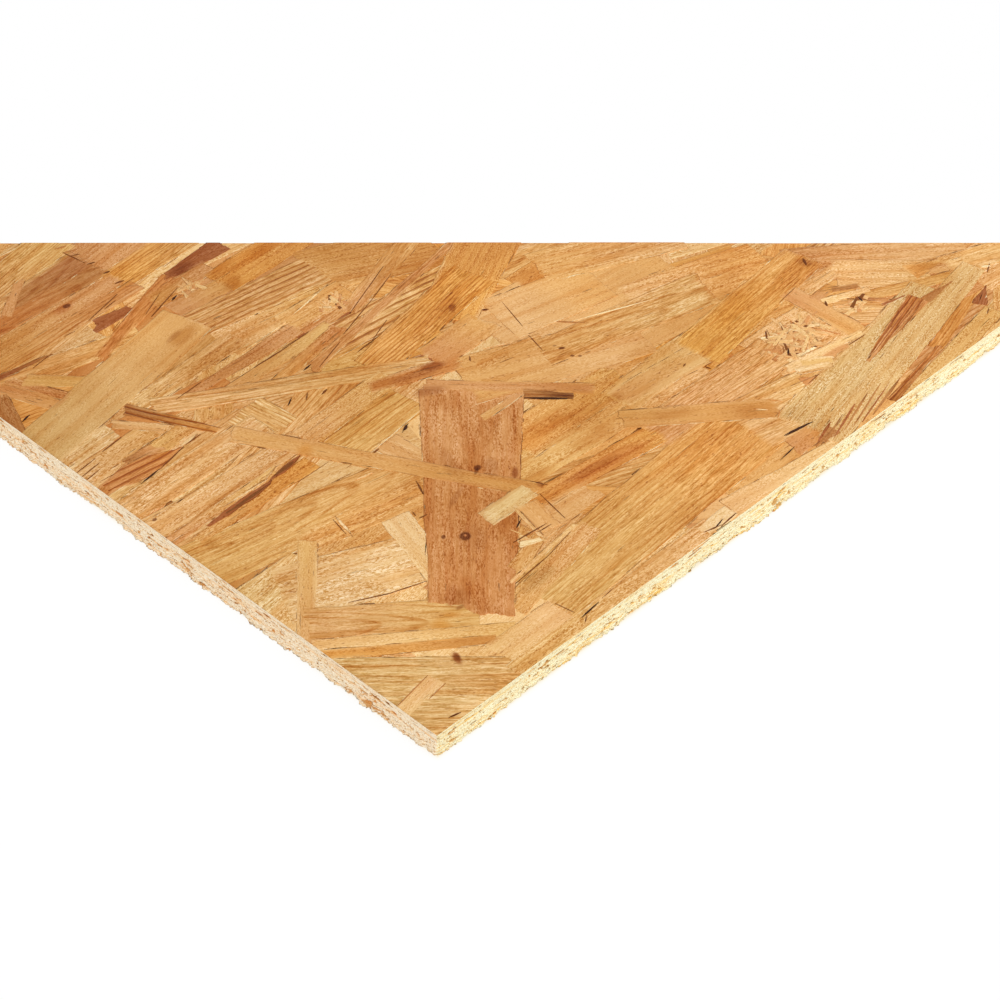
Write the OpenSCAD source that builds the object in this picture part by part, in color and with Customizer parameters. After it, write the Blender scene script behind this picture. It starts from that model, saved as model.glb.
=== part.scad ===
// Oriented strand board: one full sheet with square sawn edges, lying flat.
// Wood strands are pressed and glued into a single board, so the sheet is one solid.
// The origin is at the middle of the underside. X runs with the face strands and Z is up.

/* [Sheet] */
// Length of the sheet, with the face strands
sheet_length = 2440; // [1200:10:3050]
// Width of the sheet, across the face strands
sheet_width = 1220; // [590:10:1250]
// Thickness between the two pressed faces
sheet_thickness = 11; // [6:1:25]

/* [Sawn edges] */
// Corner worn off each long arris where the saw leaves the face
arris = 0.4; // [0.2:0.1:1]

/* [Hidden] */

// Cross-section of a board of a given width: a rectangle with its four corners cut back by the arris.
module sawn_section(width) {
    half = width / 2;
    polygon([
        [arris - half, 0],
        [half - arris, 0],
        [half, arris],
        [half, sheet_thickness - arris],
        [half - arris, sheet_thickness],
        [arris - half, sheet_thickness],
        [-half, sheet_thickness - arris],
        [-half, arris]
    ]);
}

// A board of endless section, cut square to its length and standing on the XY plane, along Y.
module sawn_run(width, length) {
    translate([0, length / 2, 0])
        rotate([90, 0, 0])
            linear_extrude(height = length)
                sawn_section(width);
}

// The sheet is what two crossing runs share, so all four sides have the same worn arrises.
module osb_panel() {
    color("burlywood")
        intersection() {
            sawn_run(sheet_length, sheet_width);
            rotate([0, 0, 90]) sawn_run(sheet_width, sheet_length);
        }
}

osb_panel();
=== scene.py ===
"""Oriented strand board: one full sheet, dressed with its pressed strands and sawn edges.

The faces are laid strand by strand, each one a thin closed flake with its own grain, tint and stacking
height. The sawn edges are one relief strip carried round the outline. Lengths in the lists below are in
millimetres, measured from the near corner along the long edge (a) and along the short edge (b).
"""

from collections import namedtuple

import bmesh
import bpy
import numpy as np
from bpy.props import FloatProperty, FloatVectorProperty, IntProperty, PointerProperty
from bpy.types import Operator, Panel, PropertyGroup
from mathutils import Matrix, Vector


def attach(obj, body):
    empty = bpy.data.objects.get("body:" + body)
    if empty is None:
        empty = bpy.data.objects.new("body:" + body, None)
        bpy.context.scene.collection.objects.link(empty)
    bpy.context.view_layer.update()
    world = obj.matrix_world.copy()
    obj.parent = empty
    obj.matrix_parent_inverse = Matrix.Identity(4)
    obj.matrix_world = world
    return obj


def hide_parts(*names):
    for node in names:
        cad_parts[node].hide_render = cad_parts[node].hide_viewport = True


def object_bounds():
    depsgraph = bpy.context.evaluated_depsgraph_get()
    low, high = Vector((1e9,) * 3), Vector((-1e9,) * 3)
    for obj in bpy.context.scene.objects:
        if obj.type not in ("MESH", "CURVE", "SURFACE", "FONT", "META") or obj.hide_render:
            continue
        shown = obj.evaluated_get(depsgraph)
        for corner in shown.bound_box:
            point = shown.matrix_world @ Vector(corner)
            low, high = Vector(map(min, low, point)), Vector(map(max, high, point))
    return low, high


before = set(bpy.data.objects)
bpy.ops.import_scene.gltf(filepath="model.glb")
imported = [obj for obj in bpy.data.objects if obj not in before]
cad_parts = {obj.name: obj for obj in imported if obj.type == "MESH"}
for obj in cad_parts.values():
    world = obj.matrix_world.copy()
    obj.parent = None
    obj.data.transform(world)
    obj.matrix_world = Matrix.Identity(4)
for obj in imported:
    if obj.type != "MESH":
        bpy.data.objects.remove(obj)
CAD_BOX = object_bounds()

bl_info = {
    "name": "Strand Board Sheet",
    "version": (1, 0, 0),
    "blender": (4, 5, 0),
    "location": "View3D > Sidebar > Strand Board",
    "description": "Lays the strands and sawn edges of one oriented strand board sheet",
    "category": "Add Mesh",
}

MM = 0.001
LOW = np.array(CAD_BOX[0]) / MM
HIGH = np.array(CAD_BOX[1]) / MM
SHEET = HIGH - LOW
LENGTH, WIDTH = SHEET[:2]
NEAR_CORNER = LOW[:2]

# The outline, by the distance along it from the near corner, first along the long front edge: the
# distances and places of its corners, and which way each side faces
OUTLINE_STOPS = np.array([0, LENGTH, LENGTH + WIDTH, 2 * LENGTH + WIDTH, 2 * (LENGTH + WIDTH)])
OUTLINE_X = (LOW[0], HIGH[0], HIGH[0], LOW[0], LOW[0])
OUTLINE_Y = (LOW[1], LOW[1], HIGH[1], HIGH[1], LOW[1])
OUTWARD = np.array([[0, -1], [1, 0], [0, 1], [-1, 0]])

PICTURE_SIZE = 1000
# Row of the picture above which the photographed sheet is cut off
CROP_ROW = 242

# Ring spacing, distance of the pith to the side, depth of the pith, its slope, line strength, stain
Figure = namedtuple("Figure", "spacing aside depth slope contrast stain")
FIGURES = {
    "smooth": Figure(4.0, 55, 8, 0.02, 0.30, 0.15),
    "plain": Figure(3.0, 48, 6, 0.02, 0.90, 0.20),
    "ruled": Figure(2.2, 60, 4, 0.01, 1.90, 0.15),
    "bold": Figure(3.1, 75, 4, 0.00, 3.60, 0.10),
    "arched": Figure(3.0, 5, 9, 0.14, 1.50, 0.30),
    "stained": Figure(3.0, 42, 6, 0.03, 0.70, 0.90),
}

# One strand: tints and figure, from one end to the other, the width at each end, how ragged the ends
# are, how much wider it is at the middle, how far its rim takes the tint of what lies below, and how
# much later its left side starts than its right
Strand = namedtuple(
    "Strand", "tint tint_end figure a0 b0 a1 b1 width width_end ragged belly soft slant",
    defaults=(1.2, 0.0, 0.8, 0.0),
)

# The strands at the near corner in the order in which they lie, lowest first
CORNER_STRANDS = [
    # Under the others
    Strand("straw", "straw", "plain", -6, 92, 40, 100, 26, 26),
    Strand("salmon", "honey", "plain", 136, 236, 184, 240, 24, 22),
    Strand("wheat", "flax", "plain", 106, 250, 172, 245.5, 22, 18),
    Strand("flax", "gold", "plain", 124, 201, 184, 184, 22, 22),
    Strand("wheat", "honey", "smooth", 198, 150, 300, 142, 80, 84),
    Strand("ochre", "ochre", "plain", 236, 184, 268, 184, 20, 20),
    Strand("honey", "wheat", "smooth", 264, 34, 338, 38, 18, 15),
    Strand("wheat", "blush", "plain", 272, 63, 316, 63, 32, 32),
    Strand("straw", "straw", "plain", 120, 10, 160, 10, 12, 12),
    Strand("wheat", "blush", "smooth", 112, 58, 150, 57, 18, 14),
    Strand("honey", "honey", "plain", 84, 52, 112, 60, 14, 12),
    # Far left, along the short edge
    Strand("salmon", "salmon", "plain", 96, 345, 152, 357, 34, 36),
    Strand("gold", "honey", "ruled", 100, 326, 154, 333, 18, 22),
    Strand("blush", "flax", "ruled", 38, 356, 103, 374, 22, 26),
    Strand("honey", "salmon", "plain", 14, 319, 105, 327, 15, 13),
    Strand("honey", "salmon", "ruled", 4, 309, 107, 316, 11, 10),
    Strand("rust", "walnut", "arched", 35, 335, 104, 339, 12, 13),
    Strand("walnut", "plum", "arched", 56, 347, 102, 352, 13, 18),
    Strand("salmon", "salmon", "smooth", 48, 340, 70, 359, 6, 5),
    Strand("wheat", "honey", "arched", 10, 299, 84, 284, 17, 13),
    Strand("brick", "walnut", "plain", 12, 304, 44, 301, 5, 1.5),
    Strand("brick", "brick", "plain", 72, 304, 94, 303, 10, 7, 2.0),
    Strand("burnt", "burnt", "ruled", 58, 283, 123, 309, 7, 11),
    Strand("ochre", "salmon", "plain", 103, 300, 142, 303, 13, 10),
    Strand("salmon", "honey", "smooth", 106, 287, 141, 286, 13, 12, 0.6),
    Strand("gold", "amber", "stained", 136, 289, 194, 293, 21, 23),
    Strand("brick", "brick", "plain", 120, 311, 158, 313, 6, 13, 1.5),
    Strand("salmon", "wheat", "smooth", 12, 300, 25, 266, 8, 9),
    Strand("salmon", "rust", "plain", 19, 299, 32, 266, 5, 6),
    Strand("flax", "flax", "smooth", 24, 294, 45, 271, 9, 8),
    Strand("walnut", "walnut", "plain", -2, 264, 9, 294, 9, 9),
    Strand("honey", "ochre", "plain", 172, 266, 232, 238, 36, 40),
    Strand("wheat", "wheat", "bold", 106, 271, 177, 263.5, 20, 26, 0.8),
    Strand("straw", "wheat", "plain", 48, 243, 114, 249, 12, 14),
    Strand("honey", "honey", "plain", 136, 241, 176, 242, 17, 16, 0.6),
    Strand("cream", "cream", "plain", -6, 234, 30, 237, 14, 12, 0.8),
    Strand("reed", "honey", "smooth", -12, 247, 107, 277, 27, 29, 0.7),
    Strand("blush", "honey", "plain", -7, 221, 42, 225, 14, 12),
    Strand("wheat", "straw", "bold", 128, 216, 228, 211, 22, 24, 2.0),
    Strand("wheat", "flax", "smooth", 82, 221, 150, 225, 8, 9, 2.0),
    Strand("salmon", "salmon", "plain", 56, 231, 138, 235, 3, 11, 0.8),
    Strand("honey", "rust", "plain", 104, 211, 153, 221, 6, 9),
    Strand("salmon", "honey", "ruled", 163, 227, 228, 251, 9, 13),
    Strand("salmon", "salmon", "ruled", 122, 207, 240, 233, 7, 5),
    Strand("gold", "ochre", "stained", 192, 190, 272, 232, 28, 34),
    Strand("amber", "gold", "ruled", 142, 188, 228, 207, 20, 25),
    Strand("straw", "wheat", "ruled", -7, 196, 79, 203, 12, 12),
    Strand("flax", "honey", "plain", 33, 213, 57, 215, 10, 9),
    Strand("walnut", "salmon", "smooth", 20, 215, 37, 213, 5, 8, 1.5),
    Strand("rust", "burnt", "bold", 2, 208, 44, 205.5, 6, 1.5, 1.0, 10, 0.3),
    Strand("straw", "straw", "ruled", 80, 207, 83, 183, 24, 22),
    Strand("blush", "cream", "ruled", 53, 237, 163, 171, 12, 12, 2.0),
    Strand("blush", "wheat", "smooth", 32, 241, 47, 221, 6, 6),
    Strand("walnut", "ochre", "bold", 43, 245, 62.5, 203, 7.5, 4.5, 0.8),
    # Left of the middle
    Strand("wheat", "wheat", "plain", -7, 189, 80, 193, 18, 17),
    Strand("blush", "blush", "plain", -7, 171, 84, 173, 14, 14),
    Strand("salmon", "flax", "plain", -7, 160, 63, 165, 7, 4),
    Strand("flax", "honey", "arched", -9, 141, 104, 121, 32, 26),
    Strand("honey", "honey", "plain", 37, 120, 101, 108, 13, 17, 0.8),
    Strand("ivory", "straw", "plain", -7, 107, 33, 113, 22, 14),
    Strand("honey", "gold", "plain", 8, 153, 77, 157, 6, 10, 0.6),
    Strand("flax", "flax", "ruled", 87, 156, 138, 159, 25, 23, 0.8),
    Strand("wheat", "straw", "plain", 85, 171, 143, 177, 15, 14),
    Strand("wheat", "wheat", "smooth", 109, 145, 113, 119, 15, 9),
    Strand("cream", "cream", "plain", 10, 102, 69, 78, 36, 30, 0.8),
    Strand("straw", "cream", "smooth", 65, 63, 77, 105, 14, 14, 0.6),
    Strand("wheat", "flax", "smooth", -8.5, 65.5, 41, 120, 8.8, 8.8, 0.7),
    Strand("wheat", "flax", "arched", 7, 83, 61, 37, 19, 17),
    Strand("straw", "flax", "smooth", -1, 71, 65, 19, 8, 9),
    Strand("reed", "straw", "ruled", -18, 49, 52, -21, 44, 44),
    Strand("gold", "ochre", "smooth", -5, 68, 54.5, 21.5, 6, 6, 0.8),
    Strand("straw", "blush", "smooth", -5, 18.4, 22, 22.2, 8, 8, 0.5),
    Strand("straw", "blush", "smooth", 49, 15, 88, 15, 15, 14, 0.8),
    Strand("flax", "wheat", "plain", 47, 3, 168, 4, 12, 12),
    # Middle of the view
    Strand("flax", "amber", "ruled", 85, 25, 231.5, 37, 35, 40, 0.8),
    Strand("honey", "blush", "plain", 72, 29, 132, 41, 12, 12, 2.0),
    Strand("flax", "blush", "stained", 131, 88, 248, 80, 22, 16),
    Strand("amber", "flax", "stained", 147, 102, 218, 103, 26, 22),
    Strand("amber", "gold", "plain", 126, 69.5, 220, 60, 11, 15, 2.0),
    Strand("straw", "straw", "smooth", 202, 90, 261, 93, 20, 21),
    Strand("wheat", "straw", "smooth", 203, 91, 256, 87, 14, 16, 1.0, 0.0, 0.7),
    Strand("salmon", "blush", "ruled", 196, 63, 282, 63, 22, 24, 1.5),
    Strand("blush", "straw", "ruled", 228, 37, 272, 30, 36, 34, 1.0),
    Strand("honey", "ochre", "smooth", 194, 80, 250, 35.4, 13, 14, 1.6, 0.0, 0.4),
    Strand("salmon", "ochre", "smooth", 232, 13, 257, 13, 12, 11, 0.8),
    Strand("blush", "straw", "smooth", 181, 6.5, 248, -1, 13, 11, 0.8),
    Strand("rust", "salmon", "stained", 59.5, 40.6, 163.6, 144.6, 35.4, 48, 2.4, 0.0, 0.15, 9.0),
    Strand("honey", "wheat", "smooth", 164, 150, 248, 117, 36, 32),
    Strand("salmon", "salmon", "smooth", 150, 161, 202, 104, 8, 8),
    Strand("walnut", "umber", "ruled", 176.5, 124.5, 191, 107.5, 7.5, 4.5, 1.4, 0.0, 0.3),
    Strand("burnt", "burnt", "stained", 131, 177, 174, 162.5, 9, 12, 2.0),
    Strand("salmon", "honey", "smooth", 165, 173, 204, 176, 18, 19),
    Strand("honey", "honey", "plain", 176, 155, 213, 147, 9, 10),
    Strand("blush", "honey", "smooth", 209, 172, 266, 160, 34, 32, 0.6),
    Strand("honey", "wheat", "plain", 252, 188, 322, 160, 26, 28),
    Strand("wheat", "amber", "plain", 262, 137, 336, 113, 30, 32),
    Strand("honey", "straw", "arched", 204, 139, 298, 119, 20, 26),
    Strand("honey", "honey", "smooth", 65, 197, 132.5, 73, 11, 10, 0.8),
    Strand("ivory", "ivory", "smooth", 103, 76, 131, 76, 10.5, 10.5, 0.8, 0.0, 0.5),
    Strand("honey", "salmon", "smooth", 151, 125, 175, 125.6, 4.4, 4, 0.4, 0.0, 0.4),
    Strand("wheat", "wheat", "smooth", 119, 52, 123, 71, 10, 10, 0.5),
    Strand("cream", "cream", "smooth", 111, 48, 117, 72, 1.8, 1.8, 0.2),
    Strand("honey", "honey", "plain", 88, 44, 112, 52, 8, 6),
    Strand("ivory", "ivory", "smooth", 101, 54, 111, 50, 4, 3, 0.6),
    Strand("wheat", "straw", "smooth", 82, 40.6, 128, 46.2, 2, 2.5, 0.4),
    # Along the long edge
    Strand("salmon", "wheat", "plain", 338, 104, 408, 46, 28, 30),
    Strand("wheat", "wheat", "plain", 320, 85, 355, 84, 10, 9, 0.8),
    Strand("wheat", "straw", "plain", 350, 82, 382, 50, 24, 22, 2.0),
    Strand("wheat", "wheat", "ruled", 324, 63, 347, 42, 20, 18),
    Strand("honey", "flax", "ruled", 342, 62, 388, 40.5, 8, 8, 1.2, 0.0, 0.3),
    Strand("amber", "flax", "smooth", 375, 57, 399, 51, 13, 1, 0.8),
    Strand("straw", "straw", "plain", 392, 47, 432, 33, 18, 16),
    Strand("maize", "amber", "ruled", 254, 89, 351, 102, 26, 22, 0.8),
    Strand("honey", "salmon", "smooth", 320.5, 43, 322, 90, 11, 11, 0.6),
    Strand("reed", "reed", "plain", 246, 20, 372, 46, 26, 12, 0.8),
    Strand("reed", "reed", "plain", 248, 4.2, 402, 38, 12, 12.5, 0.8, 2.5),
    Strand("walnut", "rust", "bold", 290, 1.8, 338, 11.2, 5, 2.4, 0.8, 0.0, 0.1),
    Strand("flax", "flax", "plain", 297, -3, 380, 10, 10, 10),
    Strand("salmon", "rust", "bold", 305, 28, 362, 41, 2.4, 11.5, 0.4, 0.0, 0.1),
    Strand("walnut", "walnut", "plain", 362, 37.6, 384, 37.8, 5.5, 0.8, 0.3, 0.0, 0.1),
    Strand("brick", "brick", "plain", 378, 17.5, 393, 24.2, 7, 0.6, 0.3),
    Strand("walnut", "walnut", "plain", 240, 6, 256, 7.6, 0.8, 7, 0.4),
    Strand("rust", "rust", "smooth", 271.5, 39.4, 280.6, 37.2, 6.5, 0.8, 0.3, 0.0, 0.1),
    Strand("salmon", "salmon", "smooth", 294, 44, 309, 42, 5, 4, 0.6),
    Strand("cream", "straw", "smooth", 274, 50.5, 321, 44, 6, 4, 0.8),
    Strand("flax", "flax", "smooth", 282, 49, 295, 40, 5, 5, 0.5),
    Strand("cream", "cream", "plain", 276, 46.5, 292, 38.5, 5, 5, 0.5),
    Strand("cream", "cream", "smooth", 289, 47.5, 297, 41, 1.8, 1.8, 0.2),
    Strand("salmon", "ochre", "smooth", 326, 76, 341, 77, 6, 6, 0.6),
    Strand("walnut", "walnut", "smooth", 338, 75, 350, 68, 4, 4, 0.4),
    Strand("straw", "blush", "smooth", 327, 72, 351, 62.5, 5, 4, 0.4),
    Strand("brick", "rust", "smooth", 340.5, 62.5, 350, 50, 2, 4, 0.8),
    Strand("brick", "brick", "smooth", 345, 50, 359, 46.8, 2.2, 1.2, 0.3),
    Strand("cream", "cream", "smooth", 162, 4.6, 181, 5, 6.5, 8, 0.8),
    # In the open place near the long edge, with painted shadow as the umber slivers among the fines
    Strand("rust", "rust", "smooth", 289.5, 53.5, 299, 58.5, 4.5, 0.8, 0.3, 0.0, 0.1),
    Strand("walnut", "walnut", "smooth", 296.5, 66, 299, 75, 1.2, 2.6, 0.3, 0.0, 0.1),
    Strand("salmon", "salmon", "smooth", 281, 62, 287, 71, 3.4, 1.2, 0.3, 0.0, 0.1),
    Strand("umber", "umber", "smooth", 283, 57.5, 288, 64, 1.0, 2.0, 0.3, 0.0, 0.1),
    Strand("umber", "umber", "smooth", 300, 63.5, 304, 67.5, 3.0, 1.0, 0.3, 0.0, 0.1),
    Strand("ivory", "cream", "smooth", 284, 74, 296, 66, 2.2, 1.6, 0.3, 0.0, 0.1),
    Strand("cream", "cream", "smooth", 291, 60, 300, 76, 1.8, 1.4, 0.3, 0.0, 0.1),
    Strand("straw", "straw", "smooth", 300, 54, 310, 72, 2.4, 1.8, 0.3, 0.0, 0.1),
    Strand("ivory", "ivory", "smooth", 302, 69, 312, 60, 1.6, 1.2, 0.3, 0.0, 0.1),
    Strand("cream", "ivory", "smooth", 279, 54, 297, 52, 3.0, 2.0, 0.3, 0.0, 0.1),
]

# Narrow marks over the strands, widest at their middle. The dark ones are painted shadow in open slits and
# cracks, besides some dark stripes in the wood; the pale ones are mostly painted highlights along lifted
# edges, with a few pale slivers
Mark = namedtuple("Mark", "tint a0 b0 a1 b1 width")
CORNER_MARKS = [
    Mark("brick", 19, 156.6, 57, 159.6, 4.8),
    Mark("umber", 28, 157.4, 54, 159.0, 3.0),
    Mark("brick", 56, 160.6, 76, 163.8, 4.8),
    Mark("umber", 58, 161.0, 72, 162.8, 3.0),
    Mark("cream", 30, 161.6, 56, 161.8, 1.2),
    Mark("cream", 54, 162.2, 64, 166, 1.0),
    Mark("cream", 44, 206.4, 55, 207.6, 2.0),
    Mark("bark", 174.8, 121.6, 188, 107.4, 1.7),
    Mark("cream", 188, 161, 214, 149, 0.6),
    Mark("walnut", 98, 368, 103.4, 366, 1.1),
    Mark("walnut", 99, 362.4, 104.4, 360.6, 1.0),
    Mark("umber", 100, 357.4, 104, 356, 0.8),
    Mark("walnut", 100, 352, 105, 350, 1.1),
    Mark("umber", 101, 346.4, 105, 345, 0.9),
    Mark("walnut", 101, 341, 105.4, 339.4, 1.0),
    Mark("walnut", 103, 318, 107.4, 315, 1.2),
    Mark("umber", 84, 98.6, 84.8, 101.8, 0.6),
    Mark("umber", 84, 96.4, 88, 95.6, 0.8),
    Mark("umber", 101, 57, 119.6, 55.4, 0.8),
    Mark("bark", 87.5, 5.3, 99, 6.7, 0.9),
    Mark("umber", 86, 2, 90, 4.8, 0.6),
    Mark("umber", 101.5, 7.2, 109.5, 7.9, 0.5),
    Mark("bark", 235.5, 20.2, 253, 17.8, 1.1),
    Mark("bark", 236, 20.8, 252, 17.9, 1.5),
    Mark("bark", 222, 11.3, 233.5, 12.7, 0.6),
    Mark("bark", 5, 270.2, 10.4, 272, 1.1),
    Mark("bark", 119, 143.4, 125, 146, 2.0),
    Mark("bark", 111.6, 294.2, 115, 295.6, 1.6),
    Mark("umber", 27, 79.6, 44, 70.8, 0.5),
    Mark("umber", 42, 71.8, 59, 65.8, 0.5),
    Mark("umber", 83, 38.7, 104, 40.6, 0.7),
    Mark("umber", 104, 40.6, 126, 45.2, 0.4),
    Mark("walnut", 1, 22.6, 20.5, 26.3, 0.4),
    Mark("walnut", 12, 16.6, 22.5, 18.2, 0.4),
    Mark("umber", 10, 3.8, 15.5, 2.6, 0.8),
    Mark("umber", 206, 140, 210, 153.4, 0.6),
    Mark("umber", 213, 160, 220.4, 181.4, 0.6),
    Mark("walnut", 227, 151.4, 236, 140.6, 1.5),
    Mark("umber", 208.6, 183.4, 211.4, 181, 1.0),
    Mark("umber", 125, 205, 145, 212.6, 0.5),
    Mark("umber", 150, 215.6, 176, 225.5, 0.6),
    Mark("umber", 176, 225.5, 199, 235, 0.5),
    Mark("umber", 163, 225.6, 201, 242.4, 0.5),
    Mark("bark", 118.6, 208.4, 124, 209.4, 1.0),
    Mark("umber", 145, 200.8, 156, 202.4, 0.7),
    Mark("umber", 156, 202.4, 172, 209.4, 0.5),
    Mark("bark", 15.5, 198.8, 27, 200.8, 1.1),
    Mark("umber", 27, 200.6, 44.5, 205.2, 0.7),
    Mark("umber", 46, 205.6, 55.4, 206.6, 0.7),
    Mark("umber", 17, 228, 29, 230, 0.6),
    Mark("umber", -1, 224.4, 12, 226.6, 0.6),
    Mark("umber", -1, 220.6, 12, 223, 0.6),
    Mark("umber", -1, 217.4, 8.5, 219.2, 0.6),
    Mark("umber", 63, 233.4, 80, 235.4, 0.6),
    Mark("umber", 104, 226, 127, 227.4, 0.9),
    Mark("umber", 127, 227.4, 140, 228.8, 0.7),
    Mark("umber", 95, 294, 111, 302.6, 0.5),
    Mark("umber", 96, 290.8, 119.5, 300, 0.6),
    Mark("umber", 32, 298.4, 45, 301.2, 0.5),
    Mark("umber", 73, 309.2, 96, 316.4, 0.6),
    Mark("umber", 84, 311.2, 92, 313, 0.5),
    Mark("umber", 100.6, 324, 104.6, 323.2, 1.5),
    Mark("umber", 102, 334.6, 105.6, 334, 1.2),
    Mark("umber", 99, 363, 101, 348, 0.9),
    Mark("umber", 100, 142.2, 104, 142.8, 0.8),
    Mark("umber", 96, 106.6, 100, 115, 1.0),
    Mark("bark", 96, 194.2, 101, 197.2, 0.8),
    Mark("umber", 104.6, 191.4, 108.4, 194.6, 0.7),
    Mark("umber", 112.4, 189.4, 116.4, 190.4, 1.2),
    Mark("umber", 176.6, 158, 179, 161.6, 1.2),
    Mark("bark", 283.4, 57, 287, 59.6, 1.6),
    Mark("bark", 108, 62.4, 114.4, 65.2, 1.0),
    Mark("umber", 112.6, 54.2, 120.4, 53.6, 0.7),
    Mark("umber", 127.4, 52, 131.4, 71, 0.5),
    Mark("umber", 134.4, 80, 138, 72.4, 0.6),
    Mark("umber", 86, 19, 87.6, 9.4, 0.4),
    Mark("umber", 242.6, 85.8, 245, 86.6, 0.9),
    Mark("umber", 249.6, 78.6, 250.2, 75.8, 0.9),
    Mark("umber", 272.4, 36.6, 282, 37.6, 0.7),
    Mark("umber", 162, 4.0, 171, 1.8, 0.8),
    Mark("bark", 167, 2.2, 174, 3.6, 0.8),
    Mark("umber", 170, 1.2, 181, 2.2, 0.8),
    Mark("umber", 309, 41.6, 321, 41.2, 0.8),
    Mark("umber", 326, 68, 328.4, 71, 1.2),
    Mark("bark", 340.8, 58.4, 342.2, 62.2, 1.1),
    Mark("umber", 312, 86, 329, 88.8, 0.5),
    Mark("brick", 309, 29.6, 360, 45.2, 0.8),
    Mark("brick", 312, 29.6, 361, 42.4, 0.9),
    Mark("brick", 318, 29.8, 361, 39.6, 0.8),
    Mark("walnut", 326, 31, 361, 37, 0.9),
    Mark("brick", 241, 6.6, 258, 12.2, 1.6),
    Mark("walnut", 245, 5.0, 266, 11.6, 1.2),
    Mark("brick", 250, 4.0, 276, 12.4, 1.3),
    Mark("walnut", 256, 3.4, 286, 13.2, 1.2),
    Mark("walnut", 262, 2.6, 296, 13.2, 1.0),
    Mark("brick", 268, 2.0, 300, 11.0, 1.1),
    Mark("walnut", 276, 1.8, 306, 9.6, 1.4),
    Mark("umber", 402, 30, 408.6, 33.4, 0.7),
    Mark("umber", 374, 10, 378.6, 12.2, 0.6),
    Mark("umber", 345, 96, 348.6, 101, 1.6),
    Mark("umber", 55.2, 111, 57.6, 122.2, 0.5),
    Mark("ivory", 107, 238.6, 137, 241.8, 0.9),
    Mark("ivory", 142, 243.6, 175, 251.2, 1.1),
    Mark("ivory", 232, 146.4, 275, 129.6, 0.9),
    Mark("ivory", 99, 142.9, 136, 149, 0.6),
    Mark("ivory", 241.6, 42, 245, 37.6, 0.7),
    Mark("burnt", 250.8, 42.4, 254.4, 37, 0.7),
    Mark("burnt", 243.4, 30.4, 249.6, 34.4, 0.7),
    Mark("cream", 82.6, 134.4, 91, 132.6, 1.5),
    Mark("cream", 56, 107.4, 59.4, 122, 2.2),
    Mark("ivory", 271, 115, 279, 114.6, 0.9),
    Mark("ivory", 403, 34.6, 406.6, 32.6, 2.2),
]

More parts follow.
